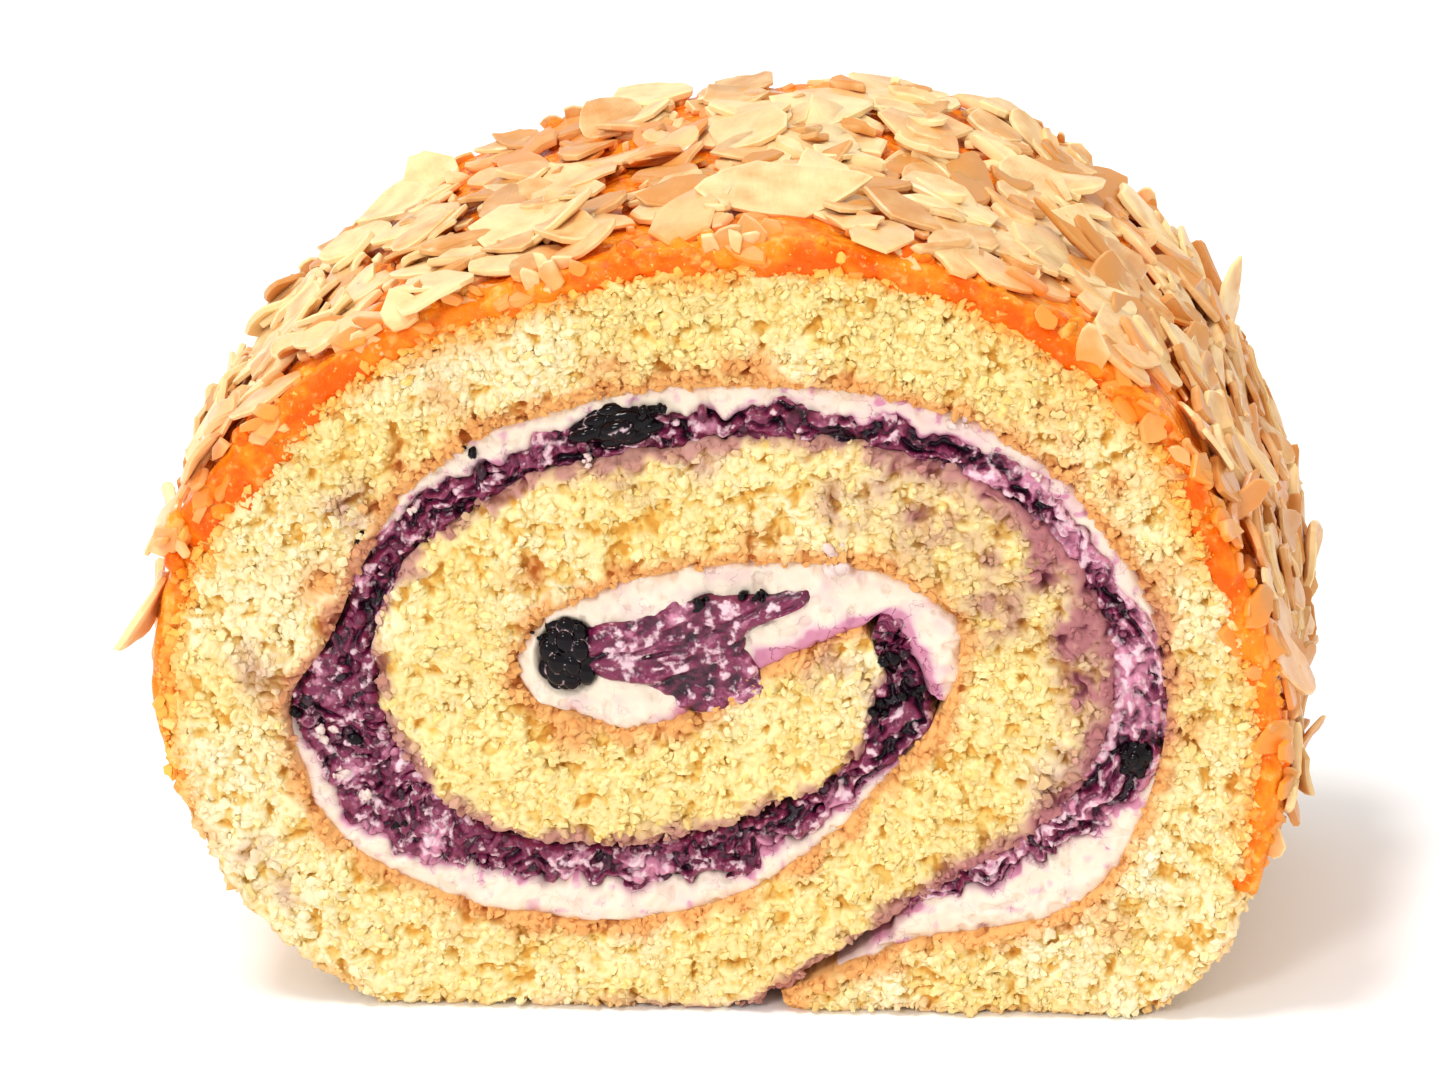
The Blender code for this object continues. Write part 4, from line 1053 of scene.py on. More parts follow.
def jam_depth(points, near, far, seed):
    """Jam lies a little behind the cut face: pulp in strands along the strip, and round lumps.

    The strands are noise stretched along the roll's turn; the lumps are strongest at lower left.
    Between the lower cream and the inner winding it has shrunk back and left a dark gap.
    """
    bent = points + 0.5 * np.stack([swells(points, 1.6, 236), swells(points, 1.6, 237)], -1)
    lumps = domes(bent, 1.7, 230 + seed, 0.74)
    bits = domes(bent, 0.8, 231 + seed)
    torn = ease(0.2, 0.0, np.abs(swells(bent, 1.3, 233 + seed)))
    turn = np.arctan2(points[:, 1] - JAM_MIDDLE[1], points[:, 0] - JAM_MIDDLE[0])
    run = np.column_stack([turn * JAM_RADIUS * 0.3, near * 1.3])
    bend = 0.4 * swells(points, 1.3, 238)
    strands = 0.9 * swells(run + bend[:, None], 0.75, 234 + seed) + 0.4 * swells(points, 0.7, 235 + seed)
    lumpy = 0.35 + 0.65 * ease(-4.0, -18.0, points[:, 0]) * ease(36.0, 30.0, points[:, 1])
    relief = np.clip(0.1 + lumpy * (0.5 * lumps + 0.4 * bits) + (1.0 - lumpy) * (0.5 + strands)
                     - 0.4 * torn, 0.0, 1.0)
    low = ease(26.0, 20.0, points[:, 1]) * span(points[:, 0], -26.0, -20.0, 4.0, 12.0)
    gap = 2.6 * low * ease(1.5, 0.5, far)
    depth = 1.4 - 1.5 * relief - 0.5 * swells(points, 4.0, 232 + seed) + gap + hollows(points)
    return depth, relief


def jam_marks(points, near, far, relief, seed):
    """How much cream is mixed into the jam: more beside the cream and towards the right."""
    right = ease(14.0, 30.0, points[:, 0])
    milk = (0.35 * ease(0.9, 0.0, near) + 0.4 * right + 0.35 * right * ease(2.0, 0.7, far)
            + patches(points, LILAC)
            + 0.5 * swells(points, 3.0, 240 + seed) + 0.3 * swells(points, 1.2, 241 + seed))
    return {"relief": relief, "milk": np.clip(milk, 0.0, 1.2)}


class SpreadCream(bpy.types.Operator):
    """Spread the cream on the sheet's browned face and in the core"""
    bl_idname = "swiss_roll.cream"
    bl_label = "Cream"

    def execute(self, context):
        cell = context.scene.slice_sizes.filling_cell / MM
        finish = cream_finish("whipped cream", context.scene.slice_colours)
        for name, (first, last) in CREAM_STRETCHES.items():
            stations = even_stations(first - 0.3, last + 0.3, cell)
            points, outward = skin(stations)
            fade = span(stations, first - 0.3, first + 0.5, last - 0.5, last + 0.3)
            thick = np.minimum(cream_edge(stations), filling_room(stations) - 0.4) * fade
            near_line = points + outward * 0.7
            far_line = points - outward * (thick + 0.4)[:, None]
            filling_piece(name + "_spread", near_line, far_line, cell, cream_depth, cream_marks,
                          finish, [name])
        upper, _ = skin(even_stations(POCKET_START, POCKET_TIP, cell))
        mouth = even_stations(POCKET_START, POCKET_MOUTH, cell)
        points, outward = skin(mouth)
        lower, _ = skin(even_stations(POCKET_TIP, INNER_END, cell)[::-1])
        lower = np.vstack([points - outward * spread_cream(mouth)[:, None], lower])
        count = max(len(upper), len(lower))
        near_line, far_line = even_run(lower, count), even_run(upper, count)
        way = far_line - near_line
        way /= np.maximum(np.linalg.norm(way, axis=1), 0.3)[:, None]
        ragged = 0.7 + 0.45 * swells(far_line, 1.8, 226) + 0.35 * swells(far_line, 0.8, 227)
        far_line = far_line + way * (ragged - 0.25)[:, None]
        filling_piece("cream_core_spread", near_line - way * 0.7, far_line, cell * 1.3,
                      cream_depth, core_marks, finish, ["cream_core"])
        return {"FINISHED"}


class SpreadJam(bpy.types.Operator):
    """Spread the jam over the cream and in the core"""
    bl_idname = "swiss_roll.jam"
    bl_label = "Jam"

    def execute(self, context):
        cell = context.scene.slice_sizes.filling_cell / MM
        finish = jam_finish("berry jam", context.scene.slice_colours)
        stations = even_stations(*JAM_STRETCH, cell)
        points, outward = skin(stations)
        whole = filling_room(stations)
        start = np.where(spread_cream(stations) > 0.05, cream_edge(stations) - 0.5, -0.6)
        start = np.clip(start, -0.6, whole - 0.3)
        near_line = points - outward * start[:, None]
        far_line = points - outward * (whole + 0.8)[:, None]
        filling_piece("jam_spread", near_line, far_line, cell, jam_depth, jam_marks, finish,
                      ["jam"])
        outline = closed_curve(POCKET_JAM, 260)
        middle = np.broadcast_to(POCKET_JAM_MIDDLE, outline.shape)
        self.pocket(outline, middle, cell, finish)
        return {"FINISHED"}

    def pocket(self, outline, middle, cell, finish):
        """The jam in the core: rings from its middle out to its outline, on both cut faces."""
        rings = max(6, round(9.0 / cell))
        shares = np.linspace(0.02, POCKET_JAM_RIM, rings)
        section = across(middle, outline, shares)
        flat = section.reshape(-1, 2)
        width = np.linalg.norm(outline - middle, axis=1)
        rim = (POCKET_JAM_RIM - np.tile(shares, len(outline))) * np.repeat(width, rings)
        sides, marks = [], []
        for side, seed in SIDES:
            bent = flat + 0.6 * np.stack([swells(flat, 2.2, 255), swells(flat, 2.2, 256)], -1)
            run = bent @ np.array([[0.94, -0.34], [0.34, 0.94]])
            strands = (0.55 * swells(run * np.array([0.3, 1.5]), 0.8, 250 + seed)
                       + 0.4 * swells(bent, 1.2, 253 + seed)
                       + 0.35 * swells(run * np.array([0.5, 1.3]), 0.45, 257 + seed))
            relief = np.clip(0.6 + 0.5 * strands, 0.0, 1.0)
            depth = -0.25 - 0.45 * strands - 0.3 * swells(flat, 3.0, 251 + seed) + 1.6 * np.exp(-rim / 0.35)
            sides.append(upright(section, (side * (CUT_FACE - depth)).reshape(section.shape[:2])))
            milk = 0.2 + 0.35 * swells(flat, 2.5, 252) - 0.5 * ease(3.0, 7.0, flat[:, 0])
            marks.append({"relief": relief, "milk": np.clip(milk, 0.0, 1.2)})
        count = len(outline)
        loop = both_sides(*sides).transpose(1, 0, 2)
        marked = {mark: both_sides(*(side[mark].reshape(count, -1) for side in marks)).T
                  for mark in marks[0]}
        add_piece("jam_core_spread", loop.reshape(-1, 3), tube_faces(len(loop), count), finish,
                  ["jam_core"], marked)


# ---------------------------------------------------------------- berries


def berry_surface(ways, radii, beads, jitter):
    """A berry of round beads: in each direction the surface is where the outermost bead ends.

    The beads are balls of one size whose middles are spread over a smaller ball by the golden
    angle and shifted a little. The whole is then stretched to the berry's radii. The second
    result is 1 where two beads meet.
    """
    k = np.arange(beads) + 0.5
    height = 1.0 - 2.0 * k / beads
    swirl = np.pi * (1.0 + 5.0**0.5) * k
    flat = np.sqrt(1.0 - height**2)
    draw = np.random.default_rng(7)
    core = BEAD_REACH + draw.uniform(-0.06, 0.06, beads)
    size = BEAD_SIZE + draw.uniform(-0.04, 0.05, beads)
    middles = np.column_stack([flat * np.cos(swirl), flat * np.sin(swirl), height])
    middles += draw.normal(0.0, jitter, middles.shape)
    middles /= np.linalg.norm(middles, axis=1)[:, None]
    facing = ways @ middles.T
    inside = size**2 - core**2 * (1.0 - facing**2)
    reach = np.where((inside > 0) & (facing > 0), core * facing + np.sqrt(np.maximum(inside, 0.0)), 0.0)
    nearest = np.sort(reach, axis=1)[:, -2:]
    seam = ease(0.05, 0.01, nearest[:, 1] - nearest[:, 0]) * (nearest[:, 0] > BEAD_FLOOR)
    return ways * np.maximum(nearest[:, 1:], BEAD_FLOOR) * np.array(radii), seam


def berry_piece(name, berry, finish):
    """One whole berry at its place in the filling."""
    ways, faces = ball_pattern(*BERRY_MESH)
    body, seam = berry_surface(ways, berry["radii"], berry["beads"], berry["jitter"])
    lean = math.radians(berry["lean"])
    points = np.column_stack([body[:, 0] * math.cos(lean) - body[:, 2] * math.sin(lean), body[:, 1],
                              body[:, 0] * math.sin(lean) + body[:, 2] * math.cos(lean)])
    x, z = berry["centre"]
    points += np.array([x, -CUT_FACE + berry["inset"], z])
    add_piece(name + "_beads", points, faces, finish, [name], {"seam": seam})


class SetBerries(bpy.types.Operator):
    """Set the whole berries into the filling"""
    bl_idname = "swiss_roll.berries"
    bl_label = "Berries"

    def execute(self, context):
        finish = berry_finish("berry skin", context.scene.slice_colours)
        for name, berry in BERRIES.items():
            berry_piece(name, berry, finish)
        return {"FINISHED"}


# ---------------------------------------------------------------- coat


def coat_surface(shares, depth):
    """Points on the glaze, at shares of the way over the roll and depth from the middle."""
    stations = COAT_STRETCH[0] + shares * (COAT_STRETCH[1] - COAT_STRETCH[0])
    edge = outer_face(stations, glaze_thickness(stations))
    return np.column_stack([edge[:, 0], depth, edge[:, 1]])


def pooled(shares, depths):
    """How strongly the glaze has pooled at shares of the way over the roll and depths."""
    spots = np.column_stack([shares * OVER_THE_ROLL, np.broadcast_to(depths, shares.shape)])
    return patches(spots, POOLS * np.array([OVER_THE_ROLL, 1.0, 1.0, 1.0]))


class PourGlaze(bpy.types.Operator):
    """Pour the glaze over the roll's outer face, with glazed lumps along its two rims"""
    bl_idname = "swiss_roll.glaze"
    bl_label = "Glaze"

    def execute(self, context):
        sizes = context.scene.slice_sizes
        finish = glaze_finish("fruit glaze", context.scene.slice_colours)
        self.sheet(sizes.glaze_cell / MM, finish)
        self.nuggets(sizes.nuggets, finish)
        return {"FINISHED"}

    def sheet(self, cell, finish):
        """The glaze as a tube: rim, outer face and rim, over the stations that it covers."""
        stations = even_stations(*COAT_STRETCH, cell * 0.8)
        points, outward = skin(stations)
        overlap = GLAZE_FOOT[0] + 0.5 * swells(points, 3.0, 307)
        overlap += GLAZE_FOOT[1] * span(stations, *REACHES_FURTHER)
        foot = points + outward * (sponge_thickness(stations) - overlap)[:, None]
        rows, count = round(SLICE_DEPTH / cell), len(stations)
        drawn_back = 0.5 + 2.0 * ease(16.8, 18.2, stations) + 0.5 * swells(foot, 3.0, 305)
        ends = [side * (CUT_FACE - drawn_back) for side in (-1.0, 1.0)]
        shares = np.linspace(0.0, 1.0, rows)
        depths = ends[0][:, None] * (1.0 - shares) + ends[1][:, None] * shares
        spots = upright(np.repeat(foot[:, None], rows, 1), depths).reshape(-1, 3)
        pools = (0.5 * swells(spots, 7.0, 300) + 0.3 * swells(spots, 2.6, 301)
                 + 0.3 * domes(spots, 2.0, 302))
        pools = pools.reshape(count, rows)
        level = overlap[:, None] + glaze_thickness(stations)[:, None] * (0.74 + 0.28 * pools)
        upper = upright(foot[:, None] + outward[:, None] * level[..., None], depths)
        to_foot = ease(0.9, 0.0, COAT_STRETCH[1] - stations) - ease(0.9, 0.0, stations - COAT_STRETCH[0])
        ragged = np.abs(1.8 * swells(spots, 5.0, 308) + 0.9 * swells(spots, 1.8, 309)).reshape(count, rows)
        ragged *= to_foot[:, None]
        upper[..., 0] += ragged * outward[:, None, 1]
        upper[..., 2] -= ragged * outward[:, None, 0]
        steps = np.linspace(0.0, 1.0, 20)[:-1]
        rims = []
        for side, end, ring in ((-1.0, ends[0], upper[:, 0]), (1.0, ends[1], upper[:, -1])):
            rim = across(upright(foot, end), ring, steps)
            spots = rim.reshape(-1, 3)
            lumpy = (0.2 + 1.0 * domes(spots, 3.2, 303) + 0.5 * domes(spots, 1.3, 304)
                     + 0.4 * swells(spots, 5.0, 306)).reshape(rim.shape[:2])
            rim[..., 1] += side * lumpy * np.sin(np.pi * (0.06 + 0.9 * steps)) ** 0.6
            rims.append(rim)
        loop = np.concatenate([rims[0], upper, rims[1][:, ::-1]], axis=1)
        over = (stations - COAT_STRETCH[0]) / (COAT_STRETCH[1] - COAT_STRETCH[0])
        rim_depth = 0.75 - 0.45 * steps + 0.7 * pooled(over, -CUT_FACE)[:, None]
        depth = np.concatenate([rim_depth, 0.45 + 0.36 * pools, rim_depth[:, ::-1]], axis=1)
        add_piece("glaze_coat", loop.reshape(-1, 3), tube_faces(count, loop.shape[1]), finish, ["coat"],
                  {"depth": depth})

    def nuggets(self, count, finish):
        """Lumps of glaze along both rims, thicker where the glaze has run together."""
        draw = np.random.default_rng(310)
        stations = draw.uniform(COAT_STRETCH[0] + 0.4, COAT_STRETCH[1] - 1.4, count)
        side = np.where(draw.uniform(size=count) < RIM_SHARE, -1.0, 1.0)
        radii = mostly_small(draw, count, 0.4, 0.7, 2)
        blobs = np.repeat(BLOBS, LUMPS_PER_BLOB, axis=0)
        start, end = COAT_STRETCH
        over = np.clip(blobs[:, 0] + draw.normal(0.0, 0.006, len(blobs)), 0, 1)
        stations = np.concatenate([stations, start + (end - start) * over])
        side = np.concatenate([side, np.tile([-1.0, -1.0, 1.0], len(blobs) // 3)])
        radii = np.concatenate([radii, blobs[:, 1] * draw.uniform(0.35, 0.62, len(blobs))])
        level = np.minimum(glaze_thickness(stations) * draw.uniform(-0.5, 0.8, len(radii)),
                           glaze_thickness(stations) + 0.4 - radii)
        depth = CUT_FACE + 0.2 - draw.uniform(0.45, 1.0, len(radii)) * radii - 0.5
        centres = upright(outer_face(stations, level), side * depth)
        lump_piece("glaze_nuggets", centres, radii, 0.14, 311, (6, 10), finish, "coat",
                   {"depth": draw.uniform(-0.2, 1.0, len(radii))})


def spread_list():
    """Place, size and turn of the flakes of the solids: the large ones, then an even spread."""
    draw = np.random.default_rng(FLAKE_SEED)
    low, high = SPREAD_SHARES
    flakes = list(LARGE_FLAKES)
    for k in range(SPREAD_FLAKES - len(LARGE_FLAKES)):
        share = low + (high - low) * ((0.5 + k * EVEN_STEPS[0]) % 1.0)
        depth = (((0.5 + k * EVEN_STEPS[1]) % 1.0) - 0.5) * (SLICE_DEPTH - 2 * FLAKE_MARGIN)
        fade = k / SPREAD_FLAKES
        length = (FLAKE_LENGTHS[0] * (1.0 - fade) + FLAKE_LENGTHS[1] * fade) * draw.uniform(*FLAKE_SIZES)
        width = length * draw.uniform(*FLAKE_WIDTHS)
        heading, lift = draw.uniform(0.0, 360.0), draw.uniform(*FLAKE_LIFTS)
        flakes.append((share, depth, length, width, heading, lift))
    return np.array(flakes)


def more_flakes(count, seed, lengths, widths, lifts, shares=SPREAD_SHARES, heading=None):
    """Further flakes, evenly spread by the same rule from another start.

    Fewer are kept at the rims, low on the left, where the glaze has pooled, and, except for the
    smallest, on top of the large flakes.
    """
    draw = np.random.default_rng(seed)
    k = np.arange(count)
    start = draw.uniform(0.0, 1.0, 2)
    share = shares[0] + (shares[1] - shares[0]) * ((start[0] + k * EVEN_STEPS[0]) % 1.0)
    depth = (((start[1] + k * EVEN_STEPS[1]) % 1.0) - 0.5) * (SLICE_DEPTH - 1.6)
    length = draw.uniform(*lengths, count)
    width = length * draw.uniform(*widths, count)
    turn = draw.uniform(0.0, 360.0, count) if heading is None else draw.normal(*heading, count)
    flakes = np.column_stack([share, depth, length, width, turn, draw.uniform(*lifts, count)])
    large = np.array(LARGE_FLAKES)
    discs = np.column_stack([large[:, 0] * OVER_THE_ROLL, large[:, 1], large[:, 2:4].mean(axis=1) * 0.5,
                             np.full(len(large), 0.9)])
    spots = np.column_stack([share * OVER_THE_ROLL, depth])
    bare = np.max([0.35 * ease(21.0, 25.0, np.abs(depth)),
                   ease(0.76, 0.84, share) * ease(18.5, 22.0, np.abs(depth)),
                   0.85 * ease(0.78, 0.86, share) * ease(-2.0, -12.0, depth),
                   0.85 * pooled(share, depth), patches(spots, discs) * (length > 2.5)], axis=0)
    return flakes[draw.uniform(size=count) >= bare]


def turned(first, second, angles):
    """The direction that lies angles, in degrees, from the first towards the second."""
    angles = np.radians(angles)[:, None]
    return first * np.cos(angles) + second * np.sin(angles)


def coat_directions(flakes, height):
    """Places at that height over the glaze, and the directions over the roll and off the glaze."""
    here = coat_surface(flakes[:, 0], flakes[:, 1])
    beyond = coat_surface(flakes[:, 0] + SHARE_STEP, flakes[:, 1])
    along = (beyond - here) / np.linalg.norm(beyond - here, axis=1)[:, None]
    outward = np.cross(np.broadcast_to(ROLL_AXIS, along.shape), along)
    return here + outward * height[:, None], along, outward


def flake_frames(flakes, height):
    """Where each flake lies on the glaze, and four directions: ahead, sideways, up, off the glaze."""
    place_on, along, outward = coat_directions(flakes, height)
    level = turned(along, ROLL_AXIS, flakes[:, 4])
    ahead, up = turned(level, outward, flakes[:, 5]), turned(outward, -level, flakes[:, 5])
    return place_on, ahead, np.cross(up, ahead), up, outward


def rim_frames(flakes, height):
    """Where each flake stands in a rim, facing out of the cut face, and its four directions."""
    place_on, along, outward = coat_directions(flakes, height)
    axis = np.sign(flakes[:, 1:2]) * ROLL_AXIS
    face, level = turned(axis, outward, flakes[:, 5]), turned(outward, -axis, flakes[:, 5])
    ahead = turned(along, level, flakes[:, 4])
    return place_on, ahead, np.cross(face, ahead), face, outward


def flake_outlines(count, corners, between, draw):
    """Outlines of broken flakes, about one unit in reach.

    Each has corners at uneven angles and distances from the middle, with points between them on
    edges that are straight, where the nut broke, or bowed like the nut's own oval.
    """
    angle = (np.arange(corners) + draw.uniform(-0.33, 0.33, (count, corners))
             + draw.uniform(0.0, 1.0, (count, 1))) * 2 * np.pi / corners
    reach = draw.uniform(0.72, 1.06, (count, corners))
    corner = np.stack([reach * np.cos(angle), reach * np.sin(angle)], -1)
    t = np.arange(between)[:, None] / between
    edge = corner[:, :, None] * (1.0 - t) + np.roll(corner, -1, axis=1)[:, :, None] * t
    round_edge = draw.uniform(size=(count, corners, 1, 1)) < 0.45
    bow = np.where(round_edge, draw.uniform(0.1, 0.2, round_edge.shape),
                   draw.uniform(-0.03, 0.04, round_edge.shape))
    return (edge * (1.0 + 4.0 * bow * t * (1.0 - t))).reshape(count, corners * between, 2)


def flake_piece(name, flakes, frames, heights, thickness, corners, between, shares, seed, finish):
    """Almond flakes as one mesh: plates with a thin bevel, cupped and twisted a little.

    A flake is rings of points, its outline times a share of its reach at a level of half its
    thickness: the shares on top, the upper and lower rim, and the underside.
    """
    draw = np.random.default_rng(seed)
    count = len(flakes)
    centre, ahead, side, up, outward = frames(flakes, heights)
    outline = flake_outlines(count, corners, between, draw)
    around = outline.shape[1]
    rings = [(0.0, 1.0), *((share, 1.0) for share in shares), *FLAKE_BEVEL]
    half = thickness * draw.uniform(0.65, 1.3, count)[:, None] / 2
    cup, roll_up, twist = draw.normal(0.0, 0.09, (3, count, 1))
    points, edges, maps, soaks = [], [], [], []
    for share, level in rings + [(0.0, -1.0)]:
        u, v = share * outline[..., 0], share * outline[..., 1]
        if share == 0.0:
            u, v = u[:, :1], v[:, :1]
        x, y = u * flakes[:, 2:3] / 2, v * flakes[:, 3:4] / 2
        bend = (cup * u**2 + roll_up * v**2 + twist * u * v) * flakes[:, 2:3] / 2
        z = bend + level * half + draw.normal(0.0, 0.03, u.shape)
        shift = x[..., None] * ahead[:, None] + y[..., None] * side[:, None] + z[..., None] * up[:, None]
        points.append(centre[:, None] + shift)
        off_glaze = heights[:, None] + np.einsum("kij,kj->ki", shift, outward)
        soaks.append(ease(0.55, -0.3, off_glaze))
        # 1 on a flake's rim, where its finish paints a highlight.
        edges.append(np.broadcast_to(share ** 8 * (abs(level) < 0.9), u.shape))
        maps.append(np.stack([x, y], -1))
    loop = np.concatenate(points, axis=1)
    size = loop.shape[1]
    rows = [1 + ring * around + np.arange(around) for ring in range(len(rings) - 1)]
    quads = np.vstack([np.stack([a, b, np.roll(b, -1), np.roll(a, -1)], -1)
                       for a, b in zip(rows[:-1], rows[1:])])
    fan = np.stack([np.zeros(around, int), rows[0], np.roll(rows[0], -1)], -1)
    under = np.stack([np.full(around, size - 1), np.roll(rows[-1], -1), rows[-1]], -1)
    faces = copies([quads, fan, under], count, size)
    flat_map = np.concatenate(maps, axis=1) + draw.uniform(0.0, 60.0, (count, 1, 1))
    broad = ease(45.0, 90.0, flakes[:, 2] * flakes[:, 3])
    # Per-flake shade of toasting: random, less on broad flakes, and more towards the right foot, which is
    # painted shade.
    tone_and_shade = draw.uniform(0.0, 1.0, count) ** 1.3 * (1.0 - 0.8 * broad) + 0.3 * ease(0.4, 0.2, flakes[:, 0])
    marks = {"tone_and_shade": np.repeat(tone_and_shade, size),
             "wet": np.repeat(pooled(flakes[:, 0], flakes[:, 1]), size),
             "edge": np.concatenate(edges, axis=1), "soak": np.concatenate(soaks, axis=1)}
    add_piece(name, loop.reshape(-1, 3), faces, finish, ["coat"], marks, sharp=32.0,
              flat_map=flat_map.reshape(-1, 2))


class LayAlmonds(bpy.types.Operator):
    """Lay flaked almonds, slats and chips on the glaze"""
    bl_idname = "swiss_roll.almonds"
    bl_label = "Almonds"

    def execute(self, context):
        sizes = context.scene.slice_sizes
        thickness = sizes.flake_thickness / MM
        finish = almond_finish("flaked almond", context.scene.slice_colours)
        draw = np.random.default_rng(90)
        first = spread_list()
        heights = draw.uniform(0.3, 0.9, len(first))
        heights[:len(LARGE_FLAKES)] = LARGE_HEIGHT
        flake_piece("flakes_first", first, flake_frames, heights, thickness, 6, 3, (0.5, 0.93), 91, finish)
        for name, fifths, seed, lengths, shares in (
                ("flakes_over", 3, 92, (5.0, 12.0), (0.36, 0.97)),
                ("flakes_right", 2, 98, (4.5, 9.0), (0.03, 0.4))):
            more = more_flakes(sizes.more_flakes * fifths // 5, seed, lengths, (0.5, 0.9),
                               (-9.0, 14.0), shares)
            flake_piece(name, more, flake_frames, draw.uniform(-0.2, 0.9, len(more)), thickness, 6, 2,
                        (0.92,), seed + 1, finish)
        slats = more_flakes(sizes.slats, 94, (5.0, 10.5), (0.17, 0.32), (-8.0, 11.0), (0.03, 0.5),
                            (22.0, 30.0))
        flake_piece("slats", slats, flake_frames, draw.uniform(0.3, 1.0, len(slats)), thickness * 1.6,
                    5, 2, (0.86,), 95, finish)
        chips = more_flakes(sizes.chips, 96, (1.0, 3.8), (0.4, 0.9), (-35.0, 35.0), (0.01, 0.97))
        heights = draw.uniform(-0.6, 0.35, len(chips)) - 0.9 * ease(22.0, 24.3, np.abs(chips[:, 1]))
        flake_piece("chips", chips, flake_frames, heights, thickness * 0.9, 5, 1, (0.85,), 97, finish)
        rim = more_flakes(sizes.rim_flakes, 119, (1.8, 5.4), (0.4, 0.8), (-20.0, 70.0), (0.02, 0.88))
        side = np.where(draw.uniform(size=len(rim)) < RIM_SHARE, -1.0, 1.0)
        rim[:, 1] = side * (CUT_FACE - draw.uniform(-0.5, 0.9, len(rim)))
        rim = rim[draw.uniform(size=len(rim)) >= 0.9 * pooled(rim[:, 0], rim[:, 1])]
        flake_piece("flakes_rim", rim, rim_frames, draw.uniform(-2.6, 0.2, len(rim)), thickness, 5, 2,
                    (0.9,), 100, finish)
        return {"FINISHED"}


# ---------------------------------------------------------------- crumbs and beads


class DropCrumbs(bpy.types.Operator):
    """Cover the cut faces with torn grains of crumb and set beads of berry in the jam"""
    bl_idname = "swiss_roll.crumbs"
    bl_label = "Crumbs and beads"

    def execute(self, context):
        sizes, colours = context.scene.slice_sizes, context.scene.slice_colours
        crumb = crumb_finish("loose crumb", colours)
        for part, side in (("front", -1.0), ("back", 1.0)):
            for half, (first, last) in enumerate(((0.1, 17.5), (17.5, INNER_END - 0.1))):
                self.face_grains(f"crumbs_{part}_{half + 1}", side, first, last, sizes, crumb)
            self.rim_grains(f"crumbs_{part}_rim", side, crumb)
        self.foot_grains(sizes, crumb)
        self.beads(sizes.jam_beads, jam_finish("berry beads", colours))
        self.bits("skin_bits", SKIN_BITS, -0.1, berry_finish("berry bits", colours), "jam", "jam",
                  "seam", 0.0)
        self.bits("cream_bits", CREAM_BITS, -0.45, cream_finish("cream bits", colours), "cream_core",
                  "cream", "tint", 0.4)
        return {"FINISHED"}

    def bits(self, name, spots, sunk, finish, node, slot, mark, value):
        """A few torn lumps for each spot on the front cut face, all with one mark."""
        draw = np.random.default_rng(72)
        many = np.repeat(spots, LUMPS_PER_BIT, axis=0)
        radii = many[:, 2] * draw.uniform(0.2, 0.6, len(many))
        section = many[:, :2] + 0.45 * many[:, 2:] * draw.normal(0.0, 1.0, (len(many), 2))
        centres = upright(section, -CUT_FACE + sunk + draw.uniform(0.0, 0.5, len(many)))
        lump_piece(name, centres, radii, 0.3, 73, (5, 8), finish, node,
                   {mark: np.full(len(many), value)})

    def face_grains(self, name, side, first, last, sizes, finish):
        """Grains on one cut face, only where the relief under them is high."""
        draw = np.random.default_rng(60 + round(first) + round(10 * side))
        count = sizes.crumbs // 2
        stations, share = spots_on_sheet(count, first, last, draw)
        points, outward = skin(stations)
        thickness = sponge_thickness(stations)
        section = points + outward * (share * thickness)[:, None]
        edge = np.minimum(share, 1.0 - share) * thickness
        depth, relief = face_depth(section, side, edge, sizes)
        radii = mostly_small(draw, count, 0.16, 0.34)
        keep = relief > draw.uniform(0.1, 0.5, count)
        centres = upright(section, side * (depth + 0.3 * radii))
        centres[:, 2] = np.maximum(centres[:, 2], 1.4 * radii)
        marks = crumb_marks(section, stations, share, draw.uniform(0.5, 0.95, count), 80)
        grain_piece(name, centres[keep], radii[keep], 61, finish,
                    {mark: values[keep] for mark, values in marks.items()})

    def rim_grains(self, name, side, finish):
        """Grains soaked with glaze where the sponge meets the coat."""
        draw = np.random.default_rng(68 + round(side))
        count = RIM_GRAINS
        stations = draw.uniform(COAT_STRETCH[0] + 0.2, COAT_STRETCH[1], count)
        beyond = draw.normal(-1.2, 0.7, count)
        section = outer_face(stations, np.minimum(beyond, 0.7 * glaze_thickness(stations)))
        centres = upright(section, side * (CUT_FACE + draw.uniform(-0.5, 0.25, count)))
        radii = mostly_small(draw, count, 0.2, 0.5)
        marks = {"relief": draw.uniform(0.3, 0.95, count)}
        marks.update({mark: np.zeros(count) for mark in ("crust", "stain", "pale")})
        marks["soak"] = np.clip(1.15 + 0.4 * beyond + draw.normal(0, 0.2, count), 0, 1)
        grain_piece(name, centres, radii, 69, finish, marks)

    def foot_grains(self, sizes, finish):
        """Grains on the sponge's bare outside: both feet, and the left rim that the glaze left."""
        draw = np.random.default_rng(64)
        count = sizes.foot_crumbs
        stations = np.concatenate([draw.uniform(0.8, 4.9, count // 2),
                                   draw.uniform(16.8, 25.0, count - count // 2)])
        depth = draw.uniform(-1.0, 1.0, count) * (CUT_FACE - 0.3)
        at_rim = np.sign(depth) * (CUT_FACE - draw.uniform(0.0, 2.8, count))
        depth = np.where((stations > 16.5) & (stations < 19.6), at_rim, depth)
        section = outer_face(stations, draw.uniform(-0.25, 0.2, count))
        radii = mostly_small(draw, count, 0.2, 0.42)
        centres = upright(section, depth)
        centres[:, 2] = np.maximum(centres[:, 2], 1.4 * radii)
        marks = crumb_marks(section, stations, np.full(count, 1.0), draw.uniform(0.4, 1.0, count), 90)
        grain_piece("crumbs_outside", centres, radii, 65, finish, marks)

